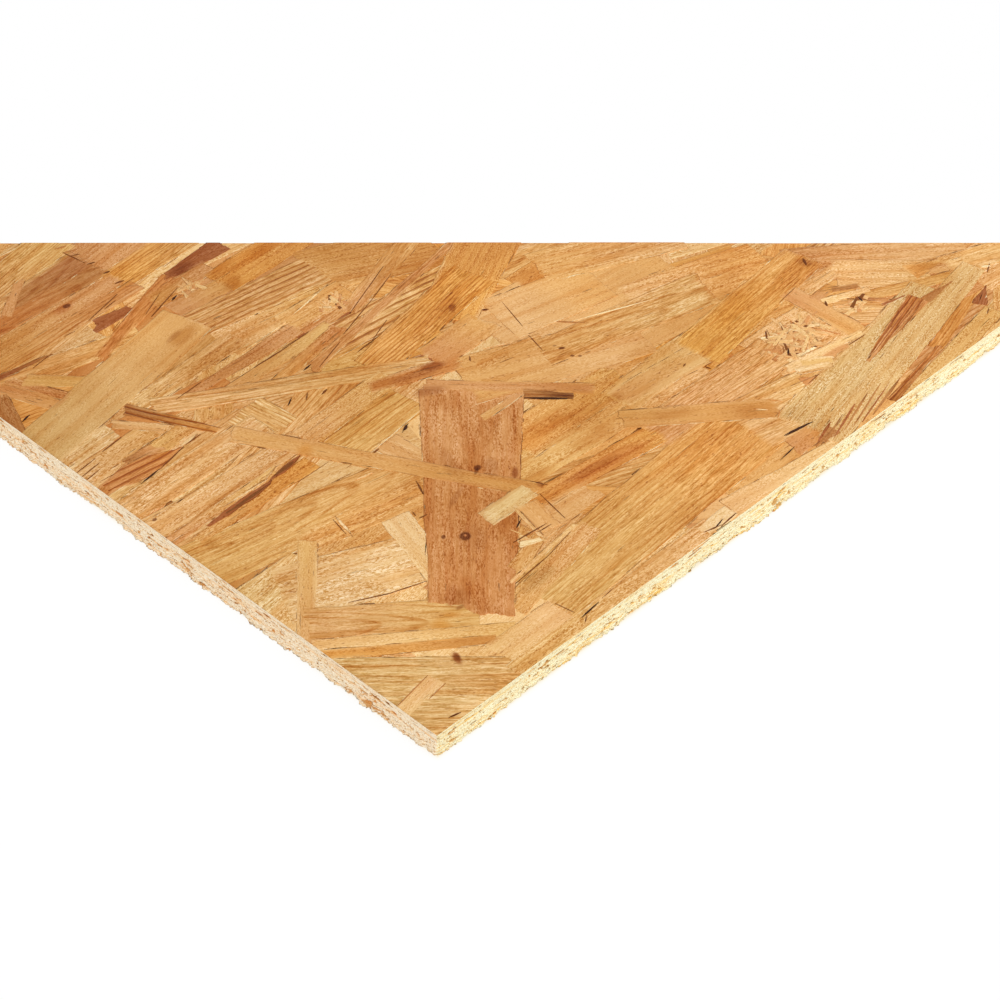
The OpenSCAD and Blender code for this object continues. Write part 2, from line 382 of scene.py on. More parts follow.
# Stains with soft outlines: place, half length and half width, turn in degrees, tone and strength. A tone
# is what the colour is multiplied by, and the share of the oval that has it in full
Stain = namedtuple("Stain", "a b reach breadth turn tone strength")
STAIN_TONES = {
    "knot": (0.26, 0.15, 0.10, 0.55),
    "heart": (0.48, 0.27, 0.15, 0.40),
    "rose": (0.80, 0.60, 0.48, 0.30),
    "resin": (0.90, 0.72, 0.44, 0.20),
    "press": (0.74, 0.56, 0.34, 0.25),
    "smoke": (0.78, 0.78, 0.72, 0.20),
    "pale": (3.20, 4.40, 6.50, 0.40),
}
STAINS = [
    Stain(35.4, 24.6, 5.6, 2.5, 66, "heart", 1.0),
    Stain(36.2, 25.6, 3.6, 1.7, 66, "heart", 0.7),
    Stain(89.6, 74.5, 3.3, 2.9, 45, "knot", 0.9),
    Stain(89.8, 74.7, 1.0, 0.8, 45, "pale", 1.0),
    Stain(92, 72, 12, 8, 45, "heart", 0.22),
    Stain(125.0, 102.4, 2.6, 2.0, 30, "knot", 0.9),
    Stain(123.2, 101.2, 3.0, 1.0, 30, "knot", 0.6),
    Stain(130, 99, 9, 5, 50, "heart", 0.3),
    Stain(134.4, 88.6, 5.4, 2.0, 40, "heart", 0.8),
    Stain(136, 75.4, 3.0, 2.0, 60, "heart", 0.7),
    Stain(82.6, 80.6, 1.4, 1.1, 45, "knot", 0.8),
    Stain(104, 95, 11, 2.2, 22, "heart", 0.35),
    Stain(118, 112, 16, 5, 70, "heart", 0.25),
    Stain(60, 50, 10, 7, 50, "heart", 0.3),
    Stain(148, 156, 10, 5, -32, "heart", 0.5),
    Stain(4.4, 176.4, 1.4, 1.1, 0, "knot", 0.9),
    Stain(73, 326, 2.4, 1.8, 0, "knot", 0.85),
    Stain(70, 325, 8, 5, 10, "rose", 0.9),
    Stain(213.6, 135.4, 2.2, 1.3, -35, "knot", 1.0),
    Stain(212.6, 139, 1.4, 0.8, -35, "knot", 0.6),
    Stain(212.8, 127.8, 1.4, 0.9, -35, "knot", 0.9),
    Stain(215.2, 125.2, 1.3, 0.8, -35, "knot", 0.85),
    Stain(209.6, 182.2, 2.0, 1.0, -40, "heart", 0.9),
    Stain(98, 269, 15, 6, 14, "press", 0.8),
    Stain(93, 271, 8, 2, 14, "heart", 0.3),
    Stain(140, 284, 8, 6, 30, "press", 0.8),
    Stain(165, 296, 26, 8, 8, "resin", 0.8),
    Stain(131, 311, 9, 5, 5, "heart", 0.5),
    Stain(200, 194, 4.4, 2.4, 40, "heart", 0.8),
    Stain(35, 179.8, 30, 1.3, 4, "press", 1.0),
    Stain(30, 166.4, 28, 1.2, 6, "press", 0.9),
    Stain(50, 45, 9, 4, -20, "resin", 0.9),
    Stain(57, 45, 3, 1.4, 0, "heart", 0.6),
    Stain(197, 193, 14, 8, 40, "press", 0.6),
    Stain(205, 215, 26, 14, 30, "resin", 0.5),
    Stain(163, 168, 8, 3.6, -22, "heart", 0.8),
    Stain(152, 169, 14, 3, -22, "heart", 0.4),
    Stain(165, 64, 34, 7, -6, "rose", 0.9),
    Stain(160, 66, 22, 3, -8, "heart", 0.25),
    Stain(170, 91, 36, 3, -2, "press", 0.5),
    Stain(204, 93, 6, 4, 0, "press", 0.7),
    Stain(214, 66, 14, 6, -30, "press", 0.6),
    Stain(238, 43, 9, 6, -38, "press", 0.4),
    Stain(160, 100, 20, 8, 5, "resin", 0.6),
    Stain(115, 158, 18, 6, 5, "resin", 0.5),
    Stain(45, 43, 6, 4, -40, "resin", 0.9),
    Stain(55, 100, 26, 9, -20, "resin", 0.4),
    Stain(80, 165, 6, 5, 40, "resin", 0.8),
    Stain(92, 34, 14, 6, 8, "smoke", 0.8),
    Stain(97, 212, 30, 2.5, -31, "smoke", 0.5),
    Stain(112, 208, 26, 2.0, -31, "smoke", 0.4),
    Stain(26, 34, 10, 5, 45, "smoke", 0.35),
    Stain(295, 98, 34, 9, 9, "resin", 0.6),
    Stain(266, 92, 12, 10, 9, "press", 0.35),
    Stain(347, 98, 4, 6, 20, "heart", 0.6),
    Stain(386, 54, 12, 5, -30, "press", 0.7),
]

# Open spots filled with torn fines: place, reach along and across the sheet, number of fines
FinesPit = namedtuple("FinesPit", "a b reach_a reach_b count")
FINES_PITS = [
    FinesPit(296, 63, 17, 11, 110),
    FinesPit(162, 238, 9, 5, 36),
    FinesPit(108, 56, 7, 5, 14),
    FinesPit(126, 297, 9, 4, 30),
    FinesPit(336, 58, 9, 7, 22),
]
FINES_TINTS = ("cream", "straw", "straw", "wheat", "wheat", "blush", "blush", "salmon", "rust", "umber")

# How often each tint turns up on the rest of the sheet
SPREAD_TINTS = {
    "honey": 20, "wheat": 20, "amber": 13, "straw": 13, "salmon": 9, "blush": 8, "gold": 7,
    "ochre": 4, "burnt": 3, "cream": 4, "rust": 2.5, "plum": 1, "walnut": 1, "brick": 0.7,
}
SPREAD_FIGURES = {"plain": 8, "smooth": 6, "ruled": 6, "arched": 3, "stained": 3, "bold": 0.7}
# The strands there: spread of their turn in degrees, share that lies any way, limits of length and width,
# and how deep below the face they lie
SPREAD_TURN = 17
STRAY_SHARE = 0.14
LENGTH_LIMITS = (40, 165)
WIDTH_LIMITS = (5, 46)
DEPTH_LIMITS = (0.30, 0.62)

# Borders of a flake, from its foot inwards: inset from the outline and drop below the top
RIM_INSETS = (0.0, 0.08, 0.7, 3.0)
RIM_DROPS = (1.0, 0.06, 0.0)
# Below this width or length the borders draw together
NARROW = 9.0
# Below this width the border that takes the tint from below is narrower
MELT_WIDTH = 18

# How far the strands of each face stop short of the outline
FACE_MARGIN = 0.14
BACK_MARGIN = 1.2
CUT_TOLERANCE = 1e-8
# Each face is laid in this many tiles
TILES_ALONG = 5
TILES_ACROSS = 2
# The underside is strewn more thinly, and its strands lie closer to the face
BACK_SHARE = 5 / 6
BACK_LIFT = 0.28
# The corner's highest strand lies this far below the face, and the marks on it this far above
FACE_GAP = 0.03

# Stains reach this far into the sheet
STAIN_DEPTH = 6.0
# Number of torn fibres, and how far they lie above their strands
TORN_FIBRES = 1600
FIBRE_LIFT = 0.006
FIBRE_THICKNESS = 0.2
FINES_THICKNESS = 0.35
# The lowest fines lie this far below the face
FINES_DEPTH = 0.24

# The sawn edges have close sections within reach of the near corner and wide-set ones beyond
NEAR_REACH = 430.0
FINE_STEP = 0.45
COARSE_STEP = 7.0
SAWN_ROWS = 24
FACE_INSET = 0.1
LAYER_HEIGHT = 0.8
# Behind the sawn face, as depth in from it and drop from the top: the upper arris and a ledge under the
# face's strands. As depth and rise from the foot: the hollow at the foot, and the rise of its inner end
ARRIS_DEPTH, ARRIS_DROP = 0.08, 0.03
LEDGE_DEPTH, LEDGE_DROP = 0.28, 1.1
HOLLOW_DEPTH, HOLLOW_RISE = 2.2, 1.2
INNER_RISE = 1.4
# Crumbled places of the sawn edges: distance along the outline from the near corner, and reach
EDGE_BREAKS = ((-37, 7), (62, 2.5), (-150, 4), (205, 3))
# Rows in which the strip's colour map is laid out
FOLDED_ROWS = 28
NEAR_SPLINTERS = 520
FAR_SPLINTERS = 900
SPLINTER_THICKNESS = 0.3
SPLINTER_TINTS = ("ivory", "ivory", "cream", "straw", "wheat", "amber")

# The floor, in metres, and how bright and how far it lights itself
FLOOR_REACH = 60.0
FLOOR_DROP = -0.0004
FLOOR_GLOW = 1.02
GLOW_SHARE = 0.92
# Where the main lamp shines from, and its spread in degrees
LIGHT_FROM = (-0.62, -0.30, 0.72)
LIGHT_SPREAD = 14
# The side lamp: size in metres, place from the upper near corner, and where it shines from
SIDE_SIZE = 0.8
SIDE_PLACE = (650, -650, 900)
SIDE_FROM = (0.3, -0.6, 0.7)
CLIP_START = 0.05

ATTRIBUTE_KINDS = {1: ("FLOAT", "value"), 3: ("FLOAT_VECTOR", "vector"), 4: ("FLOAT_COLOR", "color")}

# Strands as arrays, one row each: ends, widths, shape, height of the top, tints, figure and seed
Lay = namedtuple("Lay", "start end width ragged belly soft slant top tint tint_end figure seed")


def linear(*display):
    """Linear colour of an 8-bit display colour."""
    share = np.array(display) / 255
    bright = ((share + 0.055) / 1.055) ** 2.4
    return tuple(np.where(share <= 0.04045, share / 12.92, bright))


def tint_property(name, description, *display):
    """A colour that the user can change, given as an 8-bit display colour."""
    return FloatVectorProperty(
        name=name, description=description, subtype="COLOR", min=0, max=1, default=linear(*display)
    )


def length_property(name, description, millimetres):
    """A length that the user can change, given in millimetres."""
    return FloatProperty(
        name=name, description=description, unit="LENGTH", precision=5, default=millimetres * MM
    )


class StrandTints(PropertyGroup):
    """Colours of the strands, before grain and stain."""

    ivory: tint_property("Ivory", "Freshly torn sapwood", 251, 226, 176)
    cream: tint_property("Cream", "Pale sapwood", 242, 204, 149)
    straw: tint_property("Straw", "Sapwood", 240, 198, 137)
    flax: tint_property("Flax", "Greyed sapwood", 230, 183, 114)
    reed: tint_property("Reed", "Greenish sapwood", 224, 184, 124)
    wheat: tint_property("Wheat", "Common light strand", 232, 182, 122)
    honey: tint_property("Honey", "Common mid strand", 226, 172, 105)
    blush: tint_property("Blush", "Light pinkish strand", 233, 184, 125)
    amber: tint_property("Amber", "Common orange strand", 231, 171, 99)
    maize: tint_property("Maize", "Bright yellow strand", 240, 184, 102)
    gold: tint_property("Gold", "Resinous yellow strand", 228, 165, 86)
    ochre: tint_property("Ochre", "Dull gold strand", 214, 151, 81)
    burnt: tint_property("Burnt", "Strand browned by the press", 208, 137, 73)
    salmon: tint_property("Salmon", "Pink heartwood", 216, 157, 100)
    rust: tint_property("Rust", "Red heartwood", 211, 147, 89)
    plum: tint_property("Plum", "Purplish heartwood", 190, 130, 81)
    brick: tint_property("Brick", "Darkest heartwood", 169, 101, 57)
    walnut: tint_property("Walnut", "Brown strip", 186, 127, 72)
    umber: tint_property("Umber", "Shadowed slit or bark", 128, 76, 36)
    # Painted shade: the dark of an open slit, laid on as a colour
    bark: tint_property("Bark", "Open slit", 66, 36, 20)


class BoardSizes(PropertyGroup):
    """Sizes of the strands and of the relief on the sawn edges."""

    strand_length: length_property("Strand Length", "Mean length of a face strand", 108)
    strand_width: length_property("Strand Width", "Mean width of a face strand", 25)
    strand_thickness: length_property("Strand Thickness", "Depth of a strand's edge", 0.5)
    face_relief: length_property("Face Relief", "Height over which the upper strands stack", 0.26)
    core_cover: length_property("Core Cover", "Depth of the core under each face", 1.3)
    edge_band: length_property("Edge Band", "Depth of the sawn strip behind its face", 4)
    long_tear: length_property("Long Side Tear", "How far the foot of a long sawn edge is torn out", 1.3)
    short_tear: length_property("Short Side Tear", "How far the foot of a short sawn edge is torn out", 2.4)
    pit_depth: length_property("Pit Depth", "Depth of the small voids in a sawn edge", 0.7)
    chip_height: length_property("Chip Height", "Height of the chips along the lower arris", 0.9)
    strands_along: IntProperty(name="Strands Along", description="Scattered strands along", default=66)
    strands_across: IntProperty(name="Strands Across", description="Scattered strands across", default=54)


class StageSettings(PropertyGroup):
    """The camera of the photograph and the studio light."""

    lens: FloatProperty(name="Lens", description="Focal length", unit="CAMERA", default=85)
    distance: length_property("Distance", "From the lens to the aimed point", 909.47)
    azimuth: FloatProperty(
        name="Azimuth", description="Bearing of the camera", subtype="ANGLE", default=np.radians(-45.5535)
    )
    elevation: FloatProperty(
        name="Elevation", description="Height angle of the camera", subtype="ANGLE",
        default=np.radians(40.7943),
    )
    aim_right: length_property("Aim Right", "Aimed point to the right of the near corner", 24.267)
    aim_up: length_property("Aim Up", "Aimed point above the near corner in the picture", 90.904)
    sky_strength: FloatProperty(name="Sky", description="Even light from all round", default=0.45)
    key_strength: FloatProperty(name="Key", description="Strength of the main lamp", default=1.45)
    side_strength: FloatProperty(name="Side", description="Strength of the lamp on the right", default=6.4)
    key_colour: tint_property("Key Colour", "Colour of the main lamp", 255, 250, 238)
    floor_colour: tint_property("Floor", "Colour of the studio floor", 246, 246, 246)
    # Painted bounce: the warm colour that the floor's glow takes beside the sheet, and how far it reaches
    bounce_colour: tint_property("Bounce", "Colour of the floor right beside the sheet", 252, 240, 212)
    bounce_reach: length_property("Bounce Reach", "Distance at which the bounce is a third as strong", 0.8)


class Value:
    """One socket of a material. Each operator adds a Math node and gives its result."""

    def __init__(self, finish, socket):
        self.finish = finish
        self.socket = socket

    def maths(self, operation, *terms):
        return self.finish.add("ShaderNodeMath", {"operation": operation}, dict(enumerate(terms)))

    def __add__(self, other):
        return self.maths("ADD", self, other)

    def __radd__(self, other):
        return self.maths("ADD", other, self)

    def __sub__(self, other):
        return self.maths("SUBTRACT", self, other)

    def __rsub__(self, other):
        return self.maths("SUBTRACT", other, self)

    def __mul__(self, other):
        return self.maths("MULTIPLY", self, other)

    def __rmul__(self, other):
        return self.maths("MULTIPLY", other, self)

    def __truediv__(self, other):
        return self.maths("DIVIDE", self, other)

    def __pow__(self, other):
        return self.maths("POWER", self, other)

    def fraction(self):
        return self.maths("FRACT", self)

    def whole(self):
        return self.maths("FLOOR", self)

    def larger(self, other):
        return self.maths("MAXIMUM", self, other)

    def other(self, name):
        """Another output of the same node."""
        return Value(self.finish, self.socket.node.outputs[name])


class Finish:
    """A material as it is written. add() is the one way to put in a node."""

    MIX_FACTOR, MIX_A, MIX_B, MIX_RESULT = 0, 6, 7, 2

    def __init__(self, tree):
        self.tree = tree
        tree.nodes.clear()

    def add(self, kind, settings=None, sockets=None, out=0):
        """Adds a node: its settings first, then values or links for its sockets. Gives one output."""
        node = self.tree.nodes.new(kind)
        for key, value in (settings or {}).items():
            setattr(node, key, value)
        for key, value in (sockets or {}).items():
            if isinstance(value, Value):
                self.tree.links.new(value.socket, node.inputs[key])
            else:
                node.inputs[key].default_value = value
        return Value(self, node.outputs[out]) if node.outputs else None

    def attribute(self, name, out="Vector"):
        return self.add("ShaderNodeAttribute", {"attribute_name": name}, out=out)

    def split(self, vector):
        """The three numbers of a vector."""
        first = self.add("ShaderNodeSeparateXYZ", None, {0: vector})
        return first, first.other("Y"), first.other("Z")

    def noise(self, x, y, z, detail=2.0, roughness=0.5):
        """Soft noise from 0 to 1 at a place given by three numbers."""
        place = self.add("ShaderNodeCombineXYZ", None, {0: x, 1: y, 2: z})
        sockets = {"Vector": place, "Scale": 1.0, "Detail": detail, "Roughness": roughness}
        return self.add("ShaderNodeTexNoise", None, sockets)

    def ramp(self, value, low, high):
        """Eases from 0 at low to 1 at high."""
        return self.add(
            "ShaderNodeMapRange", {"interpolation_type": "SMOOTHSTEP"},
            {"Value": value, "From Min": low, "From Max": high},
        )

    def mix(self, factor, first, second, blend="MIX"):
        """Blends two colours."""
        sockets = {self.MIX_FACTOR: factor, self.MIX_A: first, self.MIX_B: second}
        settings = {"data_type": "RGBA", "blend_type": blend}
        return self.add("ShaderNodeMix", settings, sockets, self.MIX_RESULT)

    def tone(self, colour, factor, *tone):
        """Multiplies a colour by a tone, as far as the factor says."""
        return self.mix(factor, colour, (*tone, 1.0), "MULTIPLY")

    def surface(self, colour, roughness, height, depth, specular):
        """Ends the material in one Principled shader with a bump."""
        bump = self.add("ShaderNodeBump", None, {"Strength": 1.0, "Distance": depth, "Height": height})
        sockets = {
            "Base Color": colour, "Roughness": roughness, "Normal": bump, "Specular IOR Level": specular
        }
        shader = self.add("ShaderNodeBsdfPrincipled", None, sockets)
        self.add("ShaderNodeOutputMaterial", None, {"Surface": shader})


def new_material(name):
    material = bpy.data.materials.get(name) or bpy.data.materials.new(name)
    material.use_nodes = True
    return material


def strand_material():
    """Wood cut along the grain. The rings are circles about a pith that lies aside of the strand and
    below it, so they cross the face as lines or as arches. Streaks, fibres, pores and stains lie over them,
    and along the rim a broken painted shadow and painted highlight. Places are millimetres along and across
    the strand."""
    material = new_material("strand_wood")
    finish = Finish(material.node_tree)
    tint = finish.attribute("tint", "Color")
    along, across, seed = finish.split(finish.attribute("grain"))
    spacing, aside, depth = finish.split(finish.attribute("figure"))
    contrast, stain, slope = finish.split(finish.attribute("habit"))
    rim = finish.attribute("rim", "Fac")
    place = finish.add("ShaderNodeTexCoord", None, None, "Object")

    wander = (finish.noise(along * 0.018, across * 0.05, seed, 2.0) - 0.5) * 8
    sideways = across + aside + wander
    downward = depth + slope * along
    rings = (sideways * sideways + downward * downward) ** 0.5 / spacing
    phase = rings.fraction()
    late = finish.ramp(phase, 0.50, 0.90) * (1 - finish.ramp(phase, 0.90, 1.0))
    strength = finish.add(
        "ShaderNodeTexWhiteNoise", {"noise_dimensions": "1D"}, {"W": rings.whole() + seed * 7.3}
    )
    fade = finish.noise(along * 0.025, across * 0.09, seed + 5, 2.0)
    broken = finish.noise(along * 0.05, across * 0.5, seed + 83, 2.0)
    through = 0.5 * finish.ramp(contrast, 1.6, 3.2)
    line = late * contrast * (0.2 + through + (0.8 - through) * strength)
    line = line * (0.30 + through + (0.70 - through) * finish.ramp(fade, 0.30, 0.60))
    line = line * (0.35 + through + (0.65 - through) * finish.ramp(broken, 0.36, 0.58))

    fibre = finish.noise(along * 0.045, across * 0.85, seed + 11, 3.0, 0.75)
    streak = finish.noise(along * 0.013, across * 0.19, seed + 23, 3.0)
    blotch = finish.noise(along * 0.03, across * 0.06, seed + 37, 3.0)
    pore = finish.noise(along * 0.36, across * 1.25, seed + 53, 1.0)
    border = finish.noise(along * 0.07, across * 0.07, seed + 71, 2.0)
    grit = finish.noise(along * 0.17, across * 1.50, seed + 97, 2.0, 0.65)
    speckle = finish.noise(along * 0.75, across * 1.8, seed + 131, 1.0, 0.8)
    cloud = finish.add("ShaderNodeTexNoise", None, {"Vector": place, "Scale": 13.0, "Detail": 4.0})

    calm = 0.45 + 0.55 * finish.ramp(contrast, 0.2, 1.0)
    banded = 0.85 * (0.4 + 0.6 * calm)
    straight = finish.ramp(contrast, 0.6, 1.9)
    drawn = calm * (0.42 + 0.48 * straight)
    colour = finish.tone(tint, finish.ramp(streak, 0.44, 0.70) * banded, 0.84, 0.66, 0.44)
    colour = finish.tone(colour, finish.ramp(streak, 0.48, 0.26) * banded, 1.06, 1.11, 1.17)
    colour = finish.tone(colour, finish.ramp(cloud, 0.46, 0.68) * 0.80, 0.80, 0.67, 0.46)
    colour = finish.tone(colour, finish.ramp(cloud, 0.48, 0.32) * 0.76, 1.12, 1.15, 1.16)
    colour = finish.tone(colour, line, 0.79, 0.61, 0.39)
    colour = finish.tone(colour, (line - 1.2) * 0.6, 0.66, 0.52, 0.36)
    colour = finish.tone(colour, finish.ramp(fibre, 0.48, 0.68) * drawn, 0.83, 0.69, 0.46)
    colour = finish.tone(colour, finish.ramp(fibre, 0.50, 0.30) * drawn, 1.08, 1.17, 1.34)
    coarse = finish.add("ShaderNodeTexWhiteNoise", {"noise_dimensions": "1D"}, {"W": seed}) * 0.35 + 0.22
    coarse = coarse * (0.5 + 0.8 * finish.ramp(blotch, 0.36, 0.60))
    coarse = coarse * (0.35 + 0.65 * finish.ramp(contrast, 0.2, 1.2)) * (0.8 + 1.3 * straight)
    patchy = calm * (0.35 + 0.95 * finish.ramp(broken, 0.36, 0.62)) * (0.82 - 0.50 * straight)
    colour = finish.tone(colour, finish.ramp(grit, 0.47, 0.66) * coarse, 0.74, 0.63, 0.42)
    colour = finish.tone(colour, finish.ramp(grit, 0.53, 0.34) * coarse, 1.14, 1.24, 1.44)
    colour = finish.tone(colour, finish.ramp(speckle, 0.46, 0.64) * patchy, 0.68, 0.50, 0.25)
    colour = finish.tone(colour, finish.ramp(speckle, 0.54, 0.38) * patchy, 1.15, 1.30, 1.72)
    colour = finish.tone(colour, finish.ramp(blotch, 0.48, 0.72) * stain, 0.78, 0.58, 0.36)
    for spot in STAINS:
        *tone, core = STAIN_TONES[spot.tone]
        colour = finish.tone(colour, stain_mask(finish, place, spot, border, core), *tone)
    pores = finish.ramp(pore, 0.66, 0.72) * finish.ramp(streak, 0.36, 0.60)
    colour = finish.tone(colour, pores * 0.75, 0.52, 0.36, 0.24)
    # Painted shadow: a broken dark line along the strand borders, where the gaps between strands would be
    # shaded
    painted_border_shadow = (1 - finish.ramp(rim, 0.05, 0.45)) * finish.ramp(border, 0.53, 0.61)
    colour = finish.tone(colour, painted_border_shadow * 0.75, 0.46, 0.32, 0.20)
    # Painted highlight: a broken pale line along the raised strand borders
    painted_border_highlight = (1 - finish.ramp(rim, 0.10, 0.80)) * finish.ramp(border, 0.44, 0.36)
    colour = finish.tone(colour, painted_border_highlight * 0.5, 1.14, 1.22, 1.36)

    roughness = 0.50 + 0.22 * fibre - 0.10 * line
    height = fibre * 0.7 + grit * 0.3 - line * 0.3
    finish.surface(colour, roughness, height, 0.00016, 0.10)
    return material


def stain_mask(finish, place, stain, wobble, core):
    """Falls from the stain's strength in the core of an oval to 0 outside it, with an uneven outline."""
    centre = (*((NEAR_CORNER + (stain.a, stain.b)) * MM), HIGH[2] * MM)
    oval = finish.add(
        "ShaderNodeMapping", {"vector_type": "TEXTURE"},
        {
            "Vector": place, "Location": centre, "Rotation": (0, 0, np.radians(stain.turn)),
            "Scale": (stain.reach * MM, stain.breadth * MM, STAIN_DEPTH * MM),
        },
    )
    distance = finish.add("ShaderNodeVectorMath", {"operation": "LENGTH"}, {0: oval}, "Value")
    return finish.ramp(distance + (wobble - 0.5) * 0.9, 1.0, core) * stain.strength


def sawn_material():
    """Strands cut by the saw: thin pale layers along the edge, orange ends, small dark specks and voids,
    more of them lower down, with painted shade in the voids and in the gaps between the layers. The short
    edges are painted pinker as the side in shade, the long edges yellower as the side in the light; the
    short edges, where the saw cut across most strands, also have more painted gaps. The sum of x and y runs
    evenly along each of the four edges."""
    material = new_material("sawn_wood")
    finish = Finish(material.node_tree)
    place = finish.add("ShaderNodeTexCoord", None, None, "Object")
    x, y, z = finish.split(place)
    along = (x + y) / MM
    height = z / MM
    pit = finish.attribute("pit", "Fac")
    ply = finish.attribute("ply", "Fac")
    cut_across = finish.attribute("cut_across", "Fac")

    lower = (HIGH[2] - height) / SHEET[2]
    layer = finish.noise(along * 0.07, height * 1.5, 3.0, 3.0, 0.6)
    grain = finish.noise(along * 0.50, height * 2.2, 9.0, 3.0, 0.7)
    ends = finish.noise(along * 0.34, height * 1.2, 17.0, 2.0)
    speck = finish.noise(along * 0.85, height * 1.3, 29.0, 2.0, 0.6)
    crumb = finish.noise(along * 1.5, height * 1.9, 41.0, 2.0, 0.7)
    gap = finish.noise(along * 0.13, height * 1.9, 53.0, 2.0, 0.6)
    rough = 0.50 + 0.50 * finish.ramp(lower, 0.10, 0.45)

    # Painted light and shade: the long sides take the yellower colours as lit copies, the short sides the
    # pinker ones as shaded copies of one wood
    pale = finish.mix(cut_across, (*linear(255, 250, 216), 1.0), (*linear(255, 242, 220), 1.0))
    tan = finish.mix(cut_across, (*linear(255, 213, 122), 1.0), (*linear(254, 214, 166), 1.0))
    colour = finish.mix(finish.ramp(layer + 0.25 * ply, 0.45, 0.80) * rough, pale, tan)
    colour = finish.tone(colour, finish.ramp(grain, 0.46, 0.66) * 0.85, 0.87, 0.73, 0.52)
    colour = finish.tone(colour, finish.ramp(ends, 0.56, 0.70) * 0.70 * rough, 0.94, 0.72, 0.46)
    colour = finish.tone(colour, finish.ramp(crumb, 0.52, 0.66) * 0.90 * rough, 0.80, 0.63, 0.44)
    colour = finish.tone(colour, finish.ramp(speck, 0.60, 0.66) * rough, 0.60, 0.38, 0.20)
    # Painted shadow in the gaps between the layers, stronger on the short sides
    gaps = finish.ramp(gap, 0.63, 0.67) * (0.35 + 0.65 * cut_across)
    colour = finish.tone(colour, gaps, 0.42, 0.27, 0.16)
    # Painted shade in the voids of the sawn face
    colour = finish.tone(colour, finish.ramp(pit, 0.10, 0.70), 0.72, 0.46, 0.24)
    finish.surface(colour, 0.80, grain + crumb, 0.00025, 0.04)
    return material


def floor_material(stage):
    """Pale floor. The camera and reflections see it lit mostly by itself, so only a faint shadow stays.
    Close to the sheet its glow takes a warm painted bounce, standing in for the light that the sawn edges
    throw back."""
    material = new_material("studio_floor")
    finish = Finish(material.node_tree)
    paper = finish.add("ShaderNodeBsdfDiffuse", None, {"Color": (*stage.floor_colour, 1.0)})
    x, y, _ = finish.split(finish.add("ShaderNodeTexCoord", None, None, "Object"))
    beside_x = (LOW[0] * MM - x).larger(x - HIGH[0] * MM).larger(0)
    beside_y = (LOW[1] * MM - y).larger(y - HIGH[1] * MM).larger(0)
    away = (beside_x * beside_x + beside_y * beside_y) ** 0.5 / stage.bounce_reach
    bounce = away.maths("EXPONENT", away * -1)
    lit = finish.mix(bounce, (1, 1, 1, 1), (*stage.bounce_colour, 1))
    glow = finish.add("ShaderNodeEmission", None, {"Color": lit, "Strength": FLOOR_GLOW})
    seen = seen_directly(finish)
    mixed = finish.add("ShaderNodeMixShader", None, {0: seen * GLOW_SHARE, 1: paper, 2: glow})
    finish.add("ShaderNodeOutputMaterial", None, {"Surface": mixed})
    return material


def seen_directly(finish):
    """1 for what the camera, a reflection or a glass sees, 0 for light that falls on the object."""
    camera_ray = finish.add("ShaderNodeLightPath", None, None, "Is Camera Ray")
    glossy_ray = camera_ray.other("Is Glossy Ray")
    return camera_ray.larger(glossy_ray).larger(camera_ray.other("Is Transmission Ray"))


def lattice_noise(x, y, seed):
    """Smooth random heights from -1 to 1: random at whole-numbered places and eased between them."""
    x0 = np.floor(x)
    y0 = np.floor(y)

    def corner(dx, dy):
        mixed = np.sin((x0 + dx) * 127.1 + (y0 + dy) * 311.7 + seed * 74.7) * 43758.5453
        return 2 * (mixed - np.floor(mixed)) - 1

    ease_x = (x - x0) ** 2 * (3 - 2 * (x - x0))
    ease_y = (y - y0) ** 2 * (3 - 2 * (y - y0))
    near = corner(0, 0) * (1 - ease_x) + corner(1, 0) * ease_x
    far = corner(0, 1) * (1 - ease_x) + corner(1, 1) * ease_x
    return near * (1 - ease_y) + far * ease_y


def palette():
    """The tints by name."""
    tints = bpy.context.scene.strand_tints
    return {name: np.array(getattr(tints, name)) for name in StrandTints.__annotations__}


def varied_figures(names, rng):
    """Figures of the named kinds, each a little different from the next."""
    figures = np.array([FIGURES[name] for name in names], float)
    figures[:, :5] *= rng.uniform(0.78, 1.28, (len(figures), 5))
    figures[:, 1] *= rng.choice([-1, 1], len(figures))
    return figures


def pick(weights, count, rng):
    """Names drawn as often as their weights say."""
    names = list(weights)
    shares = np.array(list(weights.values()), float)
    return [names[i] for i in rng.choice(len(names), count, p=shares / shares.sum())]


def entries(rows, *keys):
    """Entries of listed strands as an array, one column to each key."""
    return np.array([[getattr(row, key) for key in keys] for row in rows], float)


def lay_from_rows(rows, rng):
    """Arrays of the strands that are listed one by one."""
    tints = palette()
    count = len(rows)
    ragged, belly, soft, slant = entries(rows, "ragged", "belly", "soft", "slant").T
    shade = rng.uniform(0.96, 1.04, (count, 1))
    return Lay(
        start=NEAR_CORNER + entries(rows, "a0", "b0"),
        end=NEAR_CORNER + entries(rows, "a1", "b1"),
        width=entries(rows, "width", "width_end"),
        ragged=ragged,
        belly=belly,
        soft=soft,
        slant=slant,
        top=np.zeros(count),
        tint=np.array([tints[row.tint] for row in rows]) * shade,
        tint_end=np.array([tints[row.tint_end] for row in rows]) * shade,
        figure=varied_figures([row.figure for row in rows], rng),
        seed=rng.uniform(0, 500, count),
    )


